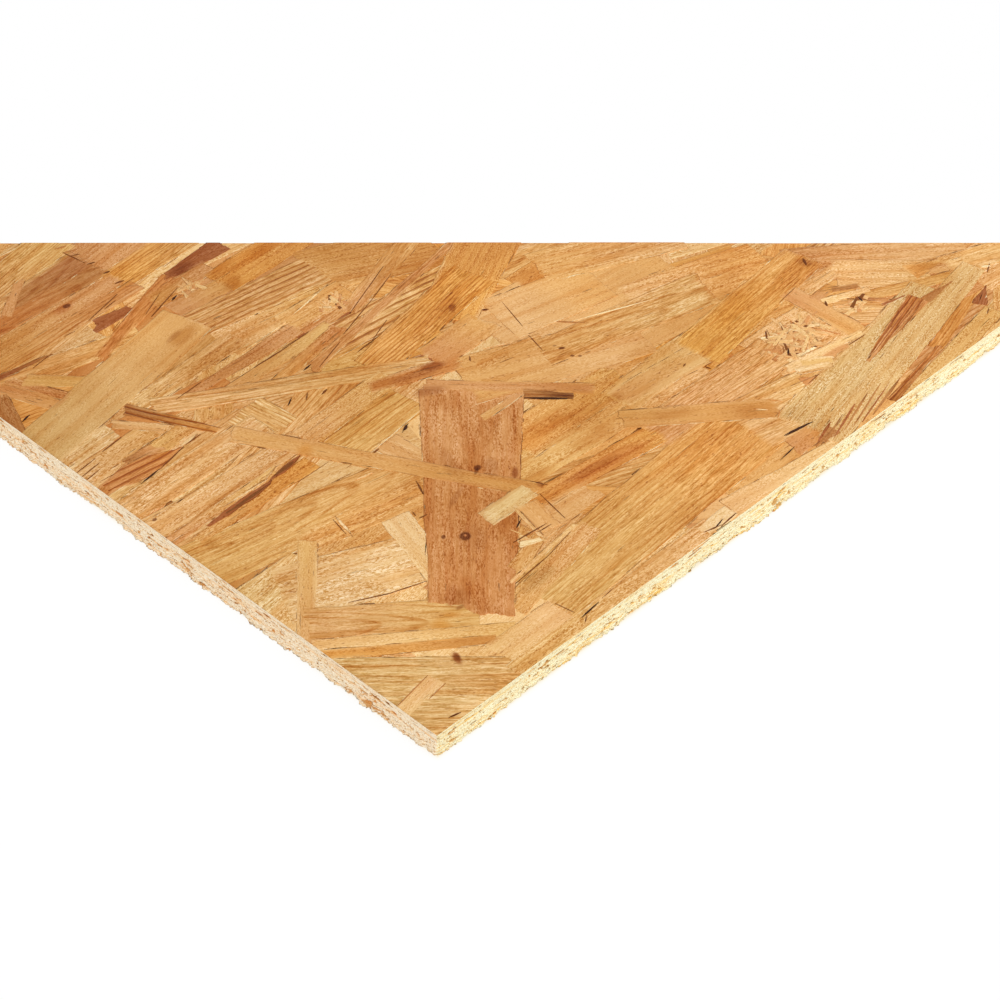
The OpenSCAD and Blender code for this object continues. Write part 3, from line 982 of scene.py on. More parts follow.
def scattered_lay(along, across, rng):
    """Strands strewn over the whole sheet: one to each cell of a grid, shifted at random, most of them
    within some degrees of the length of the sheet."""
    sizes = bpy.context.scene.board_sizes
    tints = palette()
    cells = np.stack(np.meshgrid(np.arange(along), np.arange(across)), -1).reshape(-1, 2)
    count = len(cells)
    centre = LOW[:2] + (cells + rng.random((count, 2))) * SHEET[:2] / (along, across)
    turn = rng.normal(0, np.radians(SPREAD_TURN), count)
    stray = rng.random(count) < STRAY_SHARE
    turn = np.where(stray, rng.uniform(-np.pi / 2, np.pi / 2, count), turn)
    mean_length = sizes.strand_length / MM
    mean_width = sizes.strand_width / MM
    half = np.clip(rng.normal(mean_length, mean_length * 0.26, count), *LENGTH_LIMITS) / 2
    width = np.clip(mean_width * np.exp(rng.normal(0, 0.38, count)), *WIDTH_LIMITS)
    reach = np.stack([np.cos(turn), np.sin(turn)], 1) * half[:, None]
    shade = rng.uniform(0.92, 1.05, (count, 1))
    first = np.array([tints[name] for name in pick(SPREAD_TINTS, count, rng)]) * shade
    second = np.array([tints[name] for name in pick(SPREAD_TINTS, count, rng)]) * shade
    return Lay(
        start=centre - reach,
        end=centre + reach,
        width=np.stack([width, width * rng.uniform(0.65, 1.15, count)], 1),
        ragged=rng.uniform(0.5, 3.0, count),
        belly=np.zeros(count),
        soft=np.zeros(count),
        slant=np.zeros(count),
        top=HIGH[2] - rng.uniform(*DEPTH_LIMITS, count),
        tint=first,
        tint_end=first * 0.75 + second * 0.25,
        figure=varied_figures(pick(SPREAD_FIGURES, count, rng), rng),
        seed=rng.uniform(0, 500, count),
    )


def slivers(start, end, width, top, tint, rng):
    """Thin torn slivers that run out at both ends."""
    count = len(top)
    return Lay(
        start=start,
        end=end,
        width=np.stack([width * 0.3] * 2, 1),
        ragged=width * 0.5,
        belly=width * 0.7,
        soft=np.zeros(count),
        slant=np.zeros(count),
        top=top,
        tint=tint,
        tint_end=tint,
        figure=varied_figures(["smooth"] * count, rng),
        seed=rng.uniform(0, 500, count),
    )


def chosen(lay, which):
    """The part of a lay that an index or a mask picks."""
    return Lay(*(values[which] for values in lay))


def directions(lay):
    """Length of every strand, and the directions ahead and to the left."""
    run = lay.end - lay.start
    length = np.linalg.norm(run, axis=1)
    ahead = run / length[:, None]
    return length, ahead, np.stack([-ahead[:, 1], ahead[:, 0]], 1)


def breadth(lay, share):
    """Width of every strand at a share of its length: even from end to end, and the belly's parabola."""
    first, last = lay.width[:, :1], lay.width[:, 1:]
    return first + (last - first) * share + lay.belly[:, None] * 4 * share * (1 - share)


def in_strand_frame(points, lay):
    """Places of points along and across every strand: two arrays, strands by points."""
    _, ahead, left = directions(lay)
    offset = points[None] - lay.start[:, None]
    return np.einsum("spk,sk->sp", offset, ahead), np.einsum("spk,sk->sp", offset, left)


def covers(lay, points):
    """Which strands cover at least one of the points."""
    along, across = in_strand_frame(points, lay)
    length = np.linalg.norm(lay.end - lay.start, axis=1)[:, None]
    half = lay.width.max(1)[:, None] / 2 + lay.belly[:, None] / 2
    return ((along > 0) & (along < length) & (np.abs(across) < half)).any(1)


def probe_points(strand):
    """A few points over one strand: along its middle and both sides."""
    run = strand.end - strand.start
    left = np.array([-run[1], run[0]]) / np.linalg.norm(run)
    share, side = np.meshgrid(np.linspace(0.02, 0.98, 9), [-0.45, 0, 0.45])
    reach = side.ravel() * strand.width.mean()
    return strand.start + share.ravel()[:, None] * run + reach[:, None] * left


def stacked(lay, ceiling, relief):
    """Sets the tops: each strand lies one step above the highest earlier strand that it overlaps."""
    count = len(lay.top)
    probes = [probe_points(chosen(lay, i)) for i in range(count)]
    level = np.zeros(count)
    for i in range(1, count):
        under = covers(chosen(lay, slice(0, i)), probes[i])
        own = chosen(lay, slice(i, i + 1))
        under |= np.array([covers(own, probes[j])[0] for j in range(i)])
        if under.any():
            level[i] = level[:i][under].max() + 1
    return lay._replace(top=ceiling - relief * (1 - level / max(level.max(), 1)))


def rim_steps(count, rings):
    """Shares of a length and shifts in millimetres that lay close rings at both ends of it."""
    inner = np.linspace(0, 1, count)
    near = np.array(RIM_INSETS[:rings])
    share = np.concatenate([np.zeros(rings), inner, np.ones(rings)])
    shift = np.concatenate([near, RIM_INSETS[rings] * (1 - 2 * inner), -near[::-1]])
    return share, shift


def flake_faces(rows, columns, flipped):
    """Corners and sizes of one flake's faces: the foot as one polygon, then the quads of the top."""
    index = np.arange(rows * columns).reshape(rows, columns)
    foot = np.concatenate([index[:-1, 0], index[-1, :-1], index[:0:-1, -1], index[0, :0:-1]])[::-1]
    quads = np.stack([index[:-1, :-1], index[1:, :-1], index[1:, 1:], index[:-1, 1:]], -1).reshape(-1, 4)
    if flipped:
        foot = foot[::-1]
        quads = quads[:, ::-1]
    sizes = np.concatenate([[len(foot)], np.full(len(quads), 4)])
    return np.concatenate([foot, quads.ravel()]), sizes


def ragged_ends(lay, share_v, rng):
    """How far both ends are pushed out over the width: slow waves, fine teeth and a skew, in place of
    which a strand with a slant has that at its start."""
    own = rng.uniform(0, 900, (len(lay.top), 2, 1))
    across = lay.width[:, :, None] * share_v
    skew = rng.normal(0, 0.5, own.shape) * (2 * share_v - 1) * (lay.slant == 0)[:, None, None]
    waves = 0.7 * lattice_noise(across / 8 + own, own, 1) + 0.5 * lattice_noise(across / 3 + own, own, 2)
    teeth = 0.35 * lattice_noise(across / 1.2 + own, own, 3)
    ends = (skew + waves + teeth) * lay.ragged[:, None, None]
    ends[:, 0] += lay.slant[:, None] * (share_v - 0.5)
    return ends


def uneven_sides(lay, along, rng):
    """How far both sides are pushed out over the length: slow waves and fine splits, in millimetres."""
    own = rng.uniform(0, 900, (len(lay.top), 1, 2))
    reach = np.clip(0.05 * lay.width.mean(1) + 0.2 * lay.belly + 0.03, 0.05, 0.5)[:, None, None]
    place = along[:, :, None]
    waves = lattice_noise(place / 17 + own, own, 4) + 0.5 * lattice_noise(place / 4 + own, own, 5)
    return (waves + 0.5 * lattice_noise(place / 1.5 + own, own, 6)) * reach


def smooth_step(value):
    """Eases from 0 at 0 to 1 at 1."""
    share = np.clip(value, 0, 1)
    return share * share * (3 - 2 * share)


def tint_below(lay, flat, tint):
    """The tint of the highest earlier strand under each point, or the point's own where there is none."""
    count = len(lay.top)
    points = flat.reshape(-1, 2)
    owner = np.repeat(np.arange(count), flat.shape[1] * flat.shape[2])
    below = tint.reshape(-1, 3).copy()
    for i in range(count):
        along, across = in_strand_frame(points, chosen(lay, slice(i, i + 1)))
        share = along[0] / np.linalg.norm(lay.end[i] - lay.start[i])
        width = lay.width[i, 0] + (lay.width[i, 1] - lay.width[i, 0]) * share
        inside = (share > 0) & (share < 1) & (np.abs(across[0]) < width / 2) & (owner > i)
        blend = smooth_step(share[inside])[:, None]
        below[inside] = lay.tint[i] * (1 - blend) + lay.tint_end[i] * blend
    return below.reshape(tint.shape)


def flakes(lay, steps_along, steps_across, thickness, rng, rings=2, underside=False, melt=False):
    """Closed thin flakes. A point of a strand lies at its start, plus the share u of the length ahead,
    plus the share v of the width to the left. The width runs evenly from end to end, with the belly
    added as a parabola. Ends and sides are uneven, and the rim falls to the foot by the thickness. With
    melt, the tint runs over at the rim to that of the strand below. Returns points, face corners, face
    sizes and attributes."""
    count = len(lay.top)
    share_u, shift_u = rim_steps(steps_along, rings)
    share_v, shift_v = rim_steps(steps_across, rings)
    rows, columns = len(share_u), len(share_v)
    length, ahead, left = directions(lay)
    width = breadth(lay, share_u)
    along = share_u * length[:, None] + shift_u * np.minimum(1, length / NARROW)[:, None]
    across = (share_v - 0.5) * width[:, :, None] + shift_v * np.minimum(1, width / NARROW)[:, :, None]

    ends = ragged_ends(lay, share_v, rng)
    sides = uneven_sides(lay, share_u * length[:, None], rng)
    place_along = along[:, :, None] + (1 - share_u)[:, None] * ends[:, :1] + share_u[:, None] * ends[:, 1:]
    place_across = across + sides[:, :, :1] * (1 - share_v) + sides[:, :, 1:] * share_v
    flat = (
        lay.start[:, None, None]
        + ahead[:, None, None] * place_along[..., None]
        + left[:, None, None] * place_across[..., None]
    )
    ring_u = np.minimum(np.arange(rows), np.arange(rows)[::-1])
    ring_v = np.minimum(np.arange(columns), np.arange(columns)[::-1])
    ring = np.minimum(np.minimum.outer(ring_u, ring_v), min(rings, 2))
    fall = np.array(RIM_DROPS if rings > 1 else RIM_DROPS[::2])[ring] * thickness
    height = np.broadcast_to(lay.top[:, None, None] - fall, flat.shape[:3])
    if underside:
        height = HIGH[2] + LOW[2] - height
    points = np.concatenate([flat, height[..., None]], -1).reshape(-1, 3)

    edge_u = np.minimum(along, length[:, None] - along)[:, :, None]
    edge_v = width[:, :, None] / 2 - np.abs(across)
    rim = np.minimum(np.broadcast_to(edge_u, edge_v.shape), edge_v)
    shape = flat.shape[:3]
    blend = smooth_step(share_u)[None, :, None, None]
    tint = lay.tint[:, None, None] * (1 - blend) + lay.tint_end[:, None, None] * blend
    tint = np.broadcast_to(tint, (*shape, 3))
    if melt:
        reach = RIM_INSETS[-1] * np.minimum(1, lay.width.mean(1) / MELT_WIDTH)[:, None, None]
        share = lay.soft[:, None, None] * (1 - smooth_step(rim / reach))
        tint = tint + (tint_below(lay, flat, tint) - tint) * share[..., None]
    seed = np.broadcast_to(lay.seed[:, None, None], shape)
    spread = np.broadcast_to(lay.figure[:, None, None], (*shape, 6))
    attributes = {
        "tint": np.concatenate([tint, np.ones((*shape, 1))], -1),
        "grain": np.stack([place_along - length[:, None, None] / 2, place_across, seed], -1),
        "figure": spread[..., [0, 1, 2]],
        "habit": spread[..., [4, 5, 3]],
        "rim": rim,
    }
    corners, sizes = flake_faces(rows, columns, underside)
    first = np.arange(count) * rows * columns
    return points, (corners + first[:, None]).ravel(), np.tile(sizes, count), attributes


def on_outline(stops):
    """Places at distances along the outline."""
    x = np.interp(stops, OUTLINE_STOPS, OUTLINE_X)
    y = np.interp(stops, OUTLINE_STOPS, OUTLINE_Y)
    return np.stack([x, y], -1)


def side_of(stops):
    """Which of the four sides a distance along the outline falls on. The short sides are odd."""
    return np.clip(np.searchsorted(OUTLINE_STOPS, stops, "right") - 1, 0, 3)


def ripple(stops, *waves):
    """Waves along the outline added up, each given by its length, its height and its seed."""
    return sum(height * lattice_noise(stops / length, 0 * stops, seed) for length, height, seed in waves)


def set_in(place, depth, axis):
    """Places on the outline along one axis, moved in from the sides by a depth, or out where it is
    below 0."""
    inward = np.maximum(depth, 0)
    outward = np.minimum(depth, 0)
    inner = np.clip(place, LOW[axis] + inward, HIGH[axis] - inward)
    return inner + np.where(place <= LOW[axis], outward, 0) - np.where(place >= HIGH[axis], outward, 0)


def make_mesh(name, points, corners, sizes, attributes):
    """A mesh from arrays: points in millimetres, the corners of all faces in a row, and their counts."""
    mesh = bpy.data.meshes.new(name)
    mesh.vertices.add(len(points))
    mesh.loops.add(len(corners))
    mesh.polygons.add(len(sizes))
    mesh.vertices.foreach_set("co", (points * MM).ravel())
    mesh.loops.foreach_set("vertex_index", corners.astype(np.int32))
    mesh.polygons.foreach_set("loop_start", np.concatenate([[0], np.cumsum(sizes)[:-1]]).astype(np.int32))
    mesh.update(calc_edges=True)
    for key, values in attributes.items():
        parts = values.size // len(points)
        kind, field = ATTRIBUTE_KINDS[parts]
        mesh.attributes.new(key, kind, "POINT").data.foreach_set(field, values.astype(np.float32).ravel())
    if mesh.validate():
        raise RuntimeError(f"{name} has faces that do not fit together")
    return mesh


def saw_to_outline(mesh, margin):
    """Cuts off what reaches past the sheet's outline, less a margin, and closes the cut strands."""
    work = bmesh.new()
    work.from_mesh(mesh)
    for axis in (0, 1):
        for limit, outward in ((LOW, -1), (HIGH, 1)):
            place = Vector((0, 0, 0))
            normal = Vector((0, 0, 0))
            place[axis] = (limit[axis] - outward * margin) * MM
            normal[axis] = outward
            everything = work.verts[:] + work.edges[:] + work.faces[:]
            bmesh.ops.bisect_plane(
                work, geom=everything, dist=CUT_TOLERANCE, plane_co=place, plane_no=normal, clear_outer=True
            )
            open_edges = [edge for edge in work.edges if edge.is_boundary]
            bmesh.ops.holes_fill(work, edges=open_edges, sides=0)
    still_open = sum(edge.is_boundary for edge in work.edges)
    if still_open:
        raise RuntimeError(f"{mesh.name} has {still_open} open edges after the cut")
    work.to_mesh(mesh)
    work.free()


def flat_colour_map(mesh):
    """Lays the piece out flat as seen from above, for the export's colours."""
    points = np.empty(len(mesh.vertices) * 3, np.float32)
    mesh.vertices.foreach_get("co", points)
    points = points.reshape(-1, 3)[:, :2]
    corners = np.empty(len(mesh.loops), np.int32)
    mesh.loops.foreach_get("vertex_index", corners)
    share = (points - points.min(0)) / np.ptp(points, axis=0)
    mesh.uv_layers.new(name="OFBake").uv.foreach_set("vector", share[corners].ravel())


def place_piece(name, mesh, material):
    """Puts a finished mesh into the scene as a piece of the sheet."""
    mesh.materials.append(material)
    piece = bpy.data.objects.new(name, mesh)
    bpy.context.scene.collection.objects.link(piece)
    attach(piece, "root")
    return piece


def strand_material_once():
    """The strands' material, written when it is first asked for."""
    return bpy.data.materials.get("strand_wood") or strand_material()


def place_flakes(name, arrays, margin=None):
    """Puts flakes into the scene as one piece with a flat colour map. Where a margin is given, they are
    sawn to the outline first."""
    mesh = make_mesh(name, *arrays)
    if margin is not None:
        saw_to_outline(mesh, margin)
    flat_colour_map(mesh)
    return place_piece(name, mesh, strand_material_once())


def lay_tiles(prefix, lay, margin, rng, underside):
    """Joins scattered strands into tiles by the place of their middles, the lowest strands first. The
    underside has plainer rims."""
    thickness = bpy.context.scene.board_sizes.strand_thickness / MM
    middle = (lay.start + lay.end) / 2
    share = np.clip((middle - LOW[:2]) / SHEET[:2], 0, 0.999)
    tile = (share * (TILES_ALONG, TILES_ACROSS)).astype(int)
    for i in range(TILES_ALONG):
        for j in range(TILES_ACROSS):
            own = chosen(lay, (tile[:, 0] == i) & (tile[:, 1] == j))
            own = chosen(own, np.argsort(own.top))
            arrays = flakes(own, 3, 4, thickness, rng, rings=1 if underside else 2, underside=underside)
            place_flakes(f"{prefix}_{i + 1}_{j + 1}", arrays, margin)


class BOARD_OT_core(Operator):
    """Build the pressed core that the open spots of the faces show"""

    bl_idname = "board.core"
    bl_label = "Core"

    def execute(self, context):
        sizes = context.scene.board_sizes
        cover = sizes.core_cover / MM
        rng = np.random.default_rng(3)
        tints = palette()
        inset = sizes.edge_band / MM / 2
        core = Lay(
            start=np.array([[LOW[0] + inset, 0.0]]),
            end=np.array([[HIGH[0] - inset, 0.0]]),
            width=np.array([[WIDTH - 2 * inset] * 2]),
            ragged=np.zeros(1),
            belly=np.zeros(1),
            soft=np.zeros(1),
            slant=np.zeros(1),
            top=np.array([HIGH[2] - cover]),
            # The core is walnut, darker than the face strands: partly the core's own wood, partly painted
            # shade for the bottom of the open spots
            tint=tints["walnut"][None],
            tint_end=tints["walnut"][None],
            figure=varied_figures(["stained"], rng),
            seed=np.array([5.0]),
        )
        piece = place_flakes("pressed_core", flakes(core, 50, 26, SHEET[2] - 2 * cover, rng))
        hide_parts("osb_panel")
        return {"FINISHED"}


def outline_stops():
    """Distances along the outline at which the sawn edges have a section. They are close together within
    reach of the near corner, on both of its edges."""
    corners = OUTLINE_STOPS
    near = np.arange(0, NEAR_REACH, FINE_STEP)
    front = np.arange(NEAR_REACH, corners[1], COARSE_STEP)
    others = [np.arange(corners[i], corners[i + 1], COARSE_STEP) for i in (1, 2)]
    side = np.arange(corners[3], corners[4] - NEAR_REACH, COARSE_STEP)
    last = np.arange(corners[4] - NEAR_REACH, corners[4], FINE_STEP)
    stops = np.unique(np.concatenate([near, front, *others, side, last, corners[1:4]]))
    return stops[np.append(np.diff(stops) > FINE_STEP / 4, True)]


class BOARD_OT_sawn_edges(Operator):
    """Build the four sawn edges with their layers, their voids and the chipped lower arris"""

    bl_idname = "board.sawn_edges"
    bl_label = "Sawn Edges"

    def execute(self, context):
        stops = outline_stops()
        x, y = on_outline(stops).T[..., None]
        on_side = (side_of(stops) % 2)[:, None].astype(float)
        depth, height, pit, ply = self.section(stops[:, None], on_side, context.scene.board_sizes)
        points = np.stack([set_in(x, depth, 0), set_in(y, depth, 1), height], -1)
        rows, columns = height.shape
        index = np.arange(rows * columns).reshape(rows, columns)
        ahead = np.roll(index, -1, 0)
        quads = np.stack([index, np.roll(index, -1, 1), np.roll(ahead, -1, 1), ahead], -1).reshape(-1, 4)
        # 1 on the short sides, which the sawn wood's material paints pinker as the side in shade, with more
        # painted gaps
        cut_across = np.repeat(on_side, columns)
        mesh = make_mesh(
            "sawn_edges", points.reshape(-1, 3), quads.ravel(), np.full(len(quads), 4),
            {"pit": pit.reshape(-1), "ply": ply.reshape(-1), "cut_across": cut_across},
        )
        self.folded_colour_map(mesh, stops, columns)
        place_piece("sawn_edges", mesh, sawn_material())
        return {"FINISHED"}

    def section(self, stops, on_side, sizes):
        """The strip's closed section at each stop, from the inner top round the sawn face to the inner
        foot. The face is plain under the upper arris. Lower down it is stepped in thin layers of
        strands, roughened by a fine noise, opened by flat-lying voids where a stretched noise is high,
        and chipped along the lower arris. Towards the foot, where the saw tore the strands, it stands
        out in lumps, more so on the short sides."""
        top, foot = HIGH[2], LOW[2]
        face = np.linspace(top - FACE_INSET, foot + FACE_INSET, SAWN_ROWS)[None, :]
        lower = (top - face) / (top - foot)
        layer = np.floor(face / LAYER_HEIGHT + ripple(stops, (45, 0.8, 11)))
        ply = lattice_noise(stops / 16, layer * 5.1, 9)
        crumb = lattice_noise(stops, face / 0.7, 3) + 0.6 * lattice_noise(stops / 0.5, face / 0.5, 6)
        chip = np.clip(ripple(stops, (13, 0.5, 4), (4.3, 0.5, 5), (1.6, 0.4, 7), (0.8, 0.3, 8)), 0, 1)
        lump = ripple(stops, (11, 1.0, 12), (3.7, 0.7, 13))

        voids = 0.6 * lattice_noise(stops / 3.4, face / 0.6, 1)
        voids = voids + 0.4 * lattice_noise(stops / 1.4, face / 0.45, 2)
        for middle, reach in EDGE_BREAKS:
            for beyond in (stops - middle, middle - stops):
                broken = np.exp(-((beyond % OUTLINE_STOPS[-1] / reach) ** 2))
                voids = voids + 0.4 * broken * smooth_step(lower * 3)
        rough = smooth_step((lower - 0.03) / 0.12)
        pit = smooth_step((voids - 0.54 + 0.16 * smooth_step(lower * 2)) / 0.22) * rough

        layers = (0.10 + 0.10 * ply + 0.07 * crumb) * rough
        fall = np.clip(1 - (face - foot) / 2.4, 0, 1) ** 2
        tear = (sizes.long_tear + (sizes.short_tear - sizes.long_tear) * on_side) / MM
        uneven = 0.80 + (0.35 - 0.13 * on_side) * crumb + (0.55 - 0.25 * on_side) * lump
        torn = tear * smooth_step((lower - 0.15) / 0.85) * uneven
        face_depth = 0.04 + layers + pit * sizes.pit_depth / MM + chip * fall * 0.9 - torn
        lift = chip * sizes.chip_height / MM
        face_height = foot + lift * np.clip(1 - (face - foot) / 3, 0, 1) + (face - foot)

        ones = np.ones_like(stops)
        band = ones * sizes.edge_band / MM
        ledge = ones * (top - LEDGE_DROP)
        depth = np.concatenate(
            [
                band, ones * LEDGE_DEPTH, ones * ARRIS_DEPTH, face_depth,
                0.5 + chip, ones * HOLLOW_DEPTH, band,
            ],
            1,
        )
        height = np.concatenate(
            [
                ledge, ledge, ones * (top - ARRIS_DROP), face_height,
                foot + 0.02 + lift, foot + HOLLOW_RISE + lift * 0.5, ones * (foot + INNER_RISE),
            ],
            1,
        )
        blank = np.zeros((len(stops), 3))
        return depth, height, *(np.concatenate([blank, part, blank], 1) for part in (pit, ply))

    def folded_colour_map(self, mesh, stops, columns):
        """Lays the long strip out in rows above one another, for the export's colours."""
        around = OUTLINE_STOPS[-1]
        row_length = around / FOLDED_ROWS
        row = np.floor(stops / row_length)[:, None, None]
        this = stops[:, None, None] - row * row_length
        following = np.append(stops[1:], around)[:, None, None] - row * row_length
        place = np.concatenate([this, this, following, following], 2)
        upper = np.arange(columns)[None, :, None]
        share = np.concatenate([upper, upper + 1, upper + 1, upper], 2) / (columns + 1)
        u, v = np.broadcast_arrays(place / (row_length + COARSE_STEP), (row + share) / FOLDED_ROWS)
        mesh.uv_layers.new(name="OFBake").uv.foreach_set("vector", np.stack([u, v], -1).ravel())


class BOARD_OT_edge_splinters(Operator):
    """Set splinters of torn strands along the sawn edges"""

    bl_idname = "board.edge_splinters"
    bl_label = "Edge Splinters"

    def execute(self, context):
        rng = np.random.default_rng(37)
        tints = palette()
        near = rng.uniform(0, NEAR_REACH, NEAR_SPLINTERS) * rng.choice([-1, 1], NEAR_SPLINTERS)
        far = rng.uniform(NEAR_REACH, OUTLINE_STOPS[-1] - NEAR_REACH, FAR_SPLINTERS)
        stops = np.concatenate([near, far])
        count = len(stops)
        half = np.clip(rng.lognormal(0.7, 0.5, count), 0.8, 6)
        out = rng.uniform(-0.5, 0.35, (count, 2))
        start = self.beside_outline(stops - half, out[:, 0])
        end = self.beside_outline(stops + half, out[:, 1])
        tint = np.array([tints[name] for name in rng.choice(SPLINTER_TINTS, count)])
        width = rng.uniform(0.18, 0.5, count)
        low = rng.random(count) < 0.7
        at_foot = LOW[2] + rng.gamma(2.0, 0.45, count) + 0.3
        anywhere = rng.uniform(LOW[2] + 1, HIGH[2] - 0.3, count)
        lay = slivers(start, end, width, np.where(low, at_foot, anywhere), tint, rng)
        mesh = make_mesh("edge_splinters", *flakes(lay, 3, 2, SPLINTER_THICKNESS, rng, rings=1))
        place_piece("edge_splinters", mesh, strand_material_once())
        return {"FINISHED"}

    def beside_outline(self, stops, out):
        """Places at distances along the outline from the near corner, set outwards by some millimetres."""
        stops = stops % OUTLINE_STOPS[-1]
        return on_outline(stops) + OUTWARD[side_of(stops)] * out[:, None]


class BOARD_OT_face_strands(Operator):
    """Strew the strands of the upper face"""

    bl_idname = "board.face_strands"
    bl_label = "Face Strands"

    def execute(self, context):
        sizes = context.scene.board_sizes
        rng = np.random.default_rng(11)
        lay = scattered_lay(sizes.strands_along, sizes.strands_across, rng)
        lay_tiles("face_strands", lay, FACE_MARGIN, rng, False)
        return {"FINISHED"}


class BOARD_OT_back_strands(Operator):
    """Strew the strands of the underside"""

    bl_idname = "board.back_strands"
    bl_label = "Back Strands"

    def execute(self, context):
        sizes = context.scene.board_sizes
        rng = np.random.default_rng(19)
        along = round(sizes.strands_along * BACK_SHARE)
        across = round(sizes.strands_across * BACK_SHARE)
        lay = scattered_lay(along, across, rng)
        lay = lay._replace(top=lay.top + BACK_LIFT)
        lay_tiles("back_strands", lay, BACK_MARGIN, rng, True)
        return {"FINISHED"}


def corner_lay(rng):
    """The strands of the near corner, stacked."""
    relief = bpy.context.scene.board_sizes.face_relief / MM
    return stacked(lay_from_rows(CORNER_STRANDS, rng), HIGH[2] - FACE_GAP, relief)


def strand_of_mark(mark):
    """A mark as a strand that runs out thin at both ends."""
    return Strand(
        mark.tint, mark.tint, "smooth", mark.a0, mark.b0, mark.a1, mark.b1,
        mark.width * 0.2, mark.width * 0.2, mark.width * 0.5, mark.width * 0.6,
    )


class BOARD_OT_corner_strands(Operator):
    """Lay the strands of the near corner one by one"""

    bl_idname = "board.corner_strands"
    bl_label = "Corner Strands"

    def execute(self, context):
        rng = np.random.default_rng(7)
        thickness = context.scene.board_sizes.strand_thickness / MM
        strands = flakes(corner_lay(rng), 12, 20, thickness, rng, rings=3, melt=True)
        place_flakes("corner_strands", strands, FACE_MARGIN)
        # The marks: painted shadow in slits and cracks, painted highlights on lifted edges, and some dark
        # stripes of the wood
        marks = lay_from_rows([strand_of_mark(mark) for mark in CORNER_MARKS], rng)
        marks = stacked(marks, HIGH[2] + FACE_GAP, FACE_GAP)
        place_flakes("corner_slits", flakes(marks, 12, 4, thickness, rng), FACE_MARGIN)
        return {"FINISHED"}


class BOARD_OT_torn_fibres(Operator):
    """Lay torn fibres along the borders and over the faces of the corner strands. Those on the borders
    carry painted light: a highlight on the side that faces the main lamp, shade on the other.
    """

    bl_idname = "board.torn_fibres"
    bl_label = "Torn Fibres"

    def execute(self, context):
        lay = corner_lay(np.random.default_rng(7))
        rng = np.random.default_rng(31)
        tints = palette()
        length = directions(lay)[0]
        host = rng.choice(len(length), TORN_FIBRES, p=length / length.sum())
        own = chosen(lay, host)
        length, ahead, left = directions(own)
        turn = rng.normal(0, np.radians(1.6), TORN_FIBRES)
        share = rng.uniform(0.02, 0.98, TORN_FIBRES)
        own_width = breadth(own, share[:, None])[:, 0]
        side = rng.choice([-1, 1], TORN_FIBRES)
        inside = rng.random(TORN_FIBRES) < 0.35
        across = np.where(
            inside, rng.uniform(-0.5, 0.5, TORN_FIBRES) * own_width,
            side * (own_width / 2 + rng.normal(0, 0.25, TORN_FIBRES)),
        )
        middle = own.start + ahead * (share * length)[:, None] + left * across[:, None]
        half = np.clip(rng.lognormal(0.9, 0.6, TORN_FIBRES), 0.7, 10)
        reach = (ahead * np.cos(turn)[:, None] + left * np.sin(turn)[:, None]) * half[:, None]
        width = rng.uniform(0.18, 0.55, TORN_FIBRES)
        # Fibres along a border that faces the main lamp get a painted highlight (ivory), the others painted
        # shade (umber)
        lit = (left * side[:, None] @ np.array(LIGHT_FROM[:2])) + rng.normal(0, 0.4, TORN_FIBRES) > 0.1
        painted_light_tint = np.where(lit[:, None], tints["ivory"], tints["umber"])
        inner_tint = own.tint * rng.choice([0.62, 0.75, 1.2], (TORN_FIBRES, 1))
        tint = np.where(inside[:, None], inner_tint, painted_light_tint * 0.75 + own.tint * 0.25)
        fibres = slivers(middle - reach, middle + reach, width, own.top + FIBRE_LIFT, tint, rng)
        place_flakes("torn_fibres", flakes(fibres, 3, 2, FIBRE_THICKNESS, rng, rings=1), FACE_MARGIN)
        return {"FINISHED"}


class BOARD_OT_pit_fines(Operator):
    """Strew torn fines in the open spots of the near corner"""

    bl_idname = "board.pit_fines"
    bl_label = "Pit Fines"

    def execute(self, context):
        rng = np.random.default_rng(23)
        rows = []
        for pit in FINES_PITS:
            turn = rng.uniform(0, np.pi, pit.count)
            # Fines are shorter in the smaller spots
            half = rng.uniform(2.0, 8.0, pit.count) * pit.reach_a / FINES_PITS[0].reach_a
            width = rng.uniform(0.5, 2.8, pit.count)
            a = pit.a + np.clip(rng.normal(0, 0.5, pit.count), -1, 1) * pit.reach_a
            b = pit.b + np.clip(rng.normal(0, 0.5, pit.count), -1, 1) * pit.reach_b
            names = rng.choice(FINES_TINTS, pit.count)
            da = np.cos(turn) * half
            db = np.sin(turn) * half
            ends = (a - da, b - db, a + da, b + db)
            rows += [
                Strand(name, name, "smooth", a0, b0, a1, b1, broad, broad * 0.6, 0.4)
                for name, a0, b0, a1, b1, broad in zip(names, *ends, width)
            ]
        lay = lay_from_rows(rows, rng)
        lay = lay._replace(top=HIGH[2] - rng.uniform(0.0, FINES_DEPTH, len(rows)))
        place_flakes("pit_fines", flakes(lay, 3, 3, FINES_THICKNESS, rng))
        return {"FINISHED"}


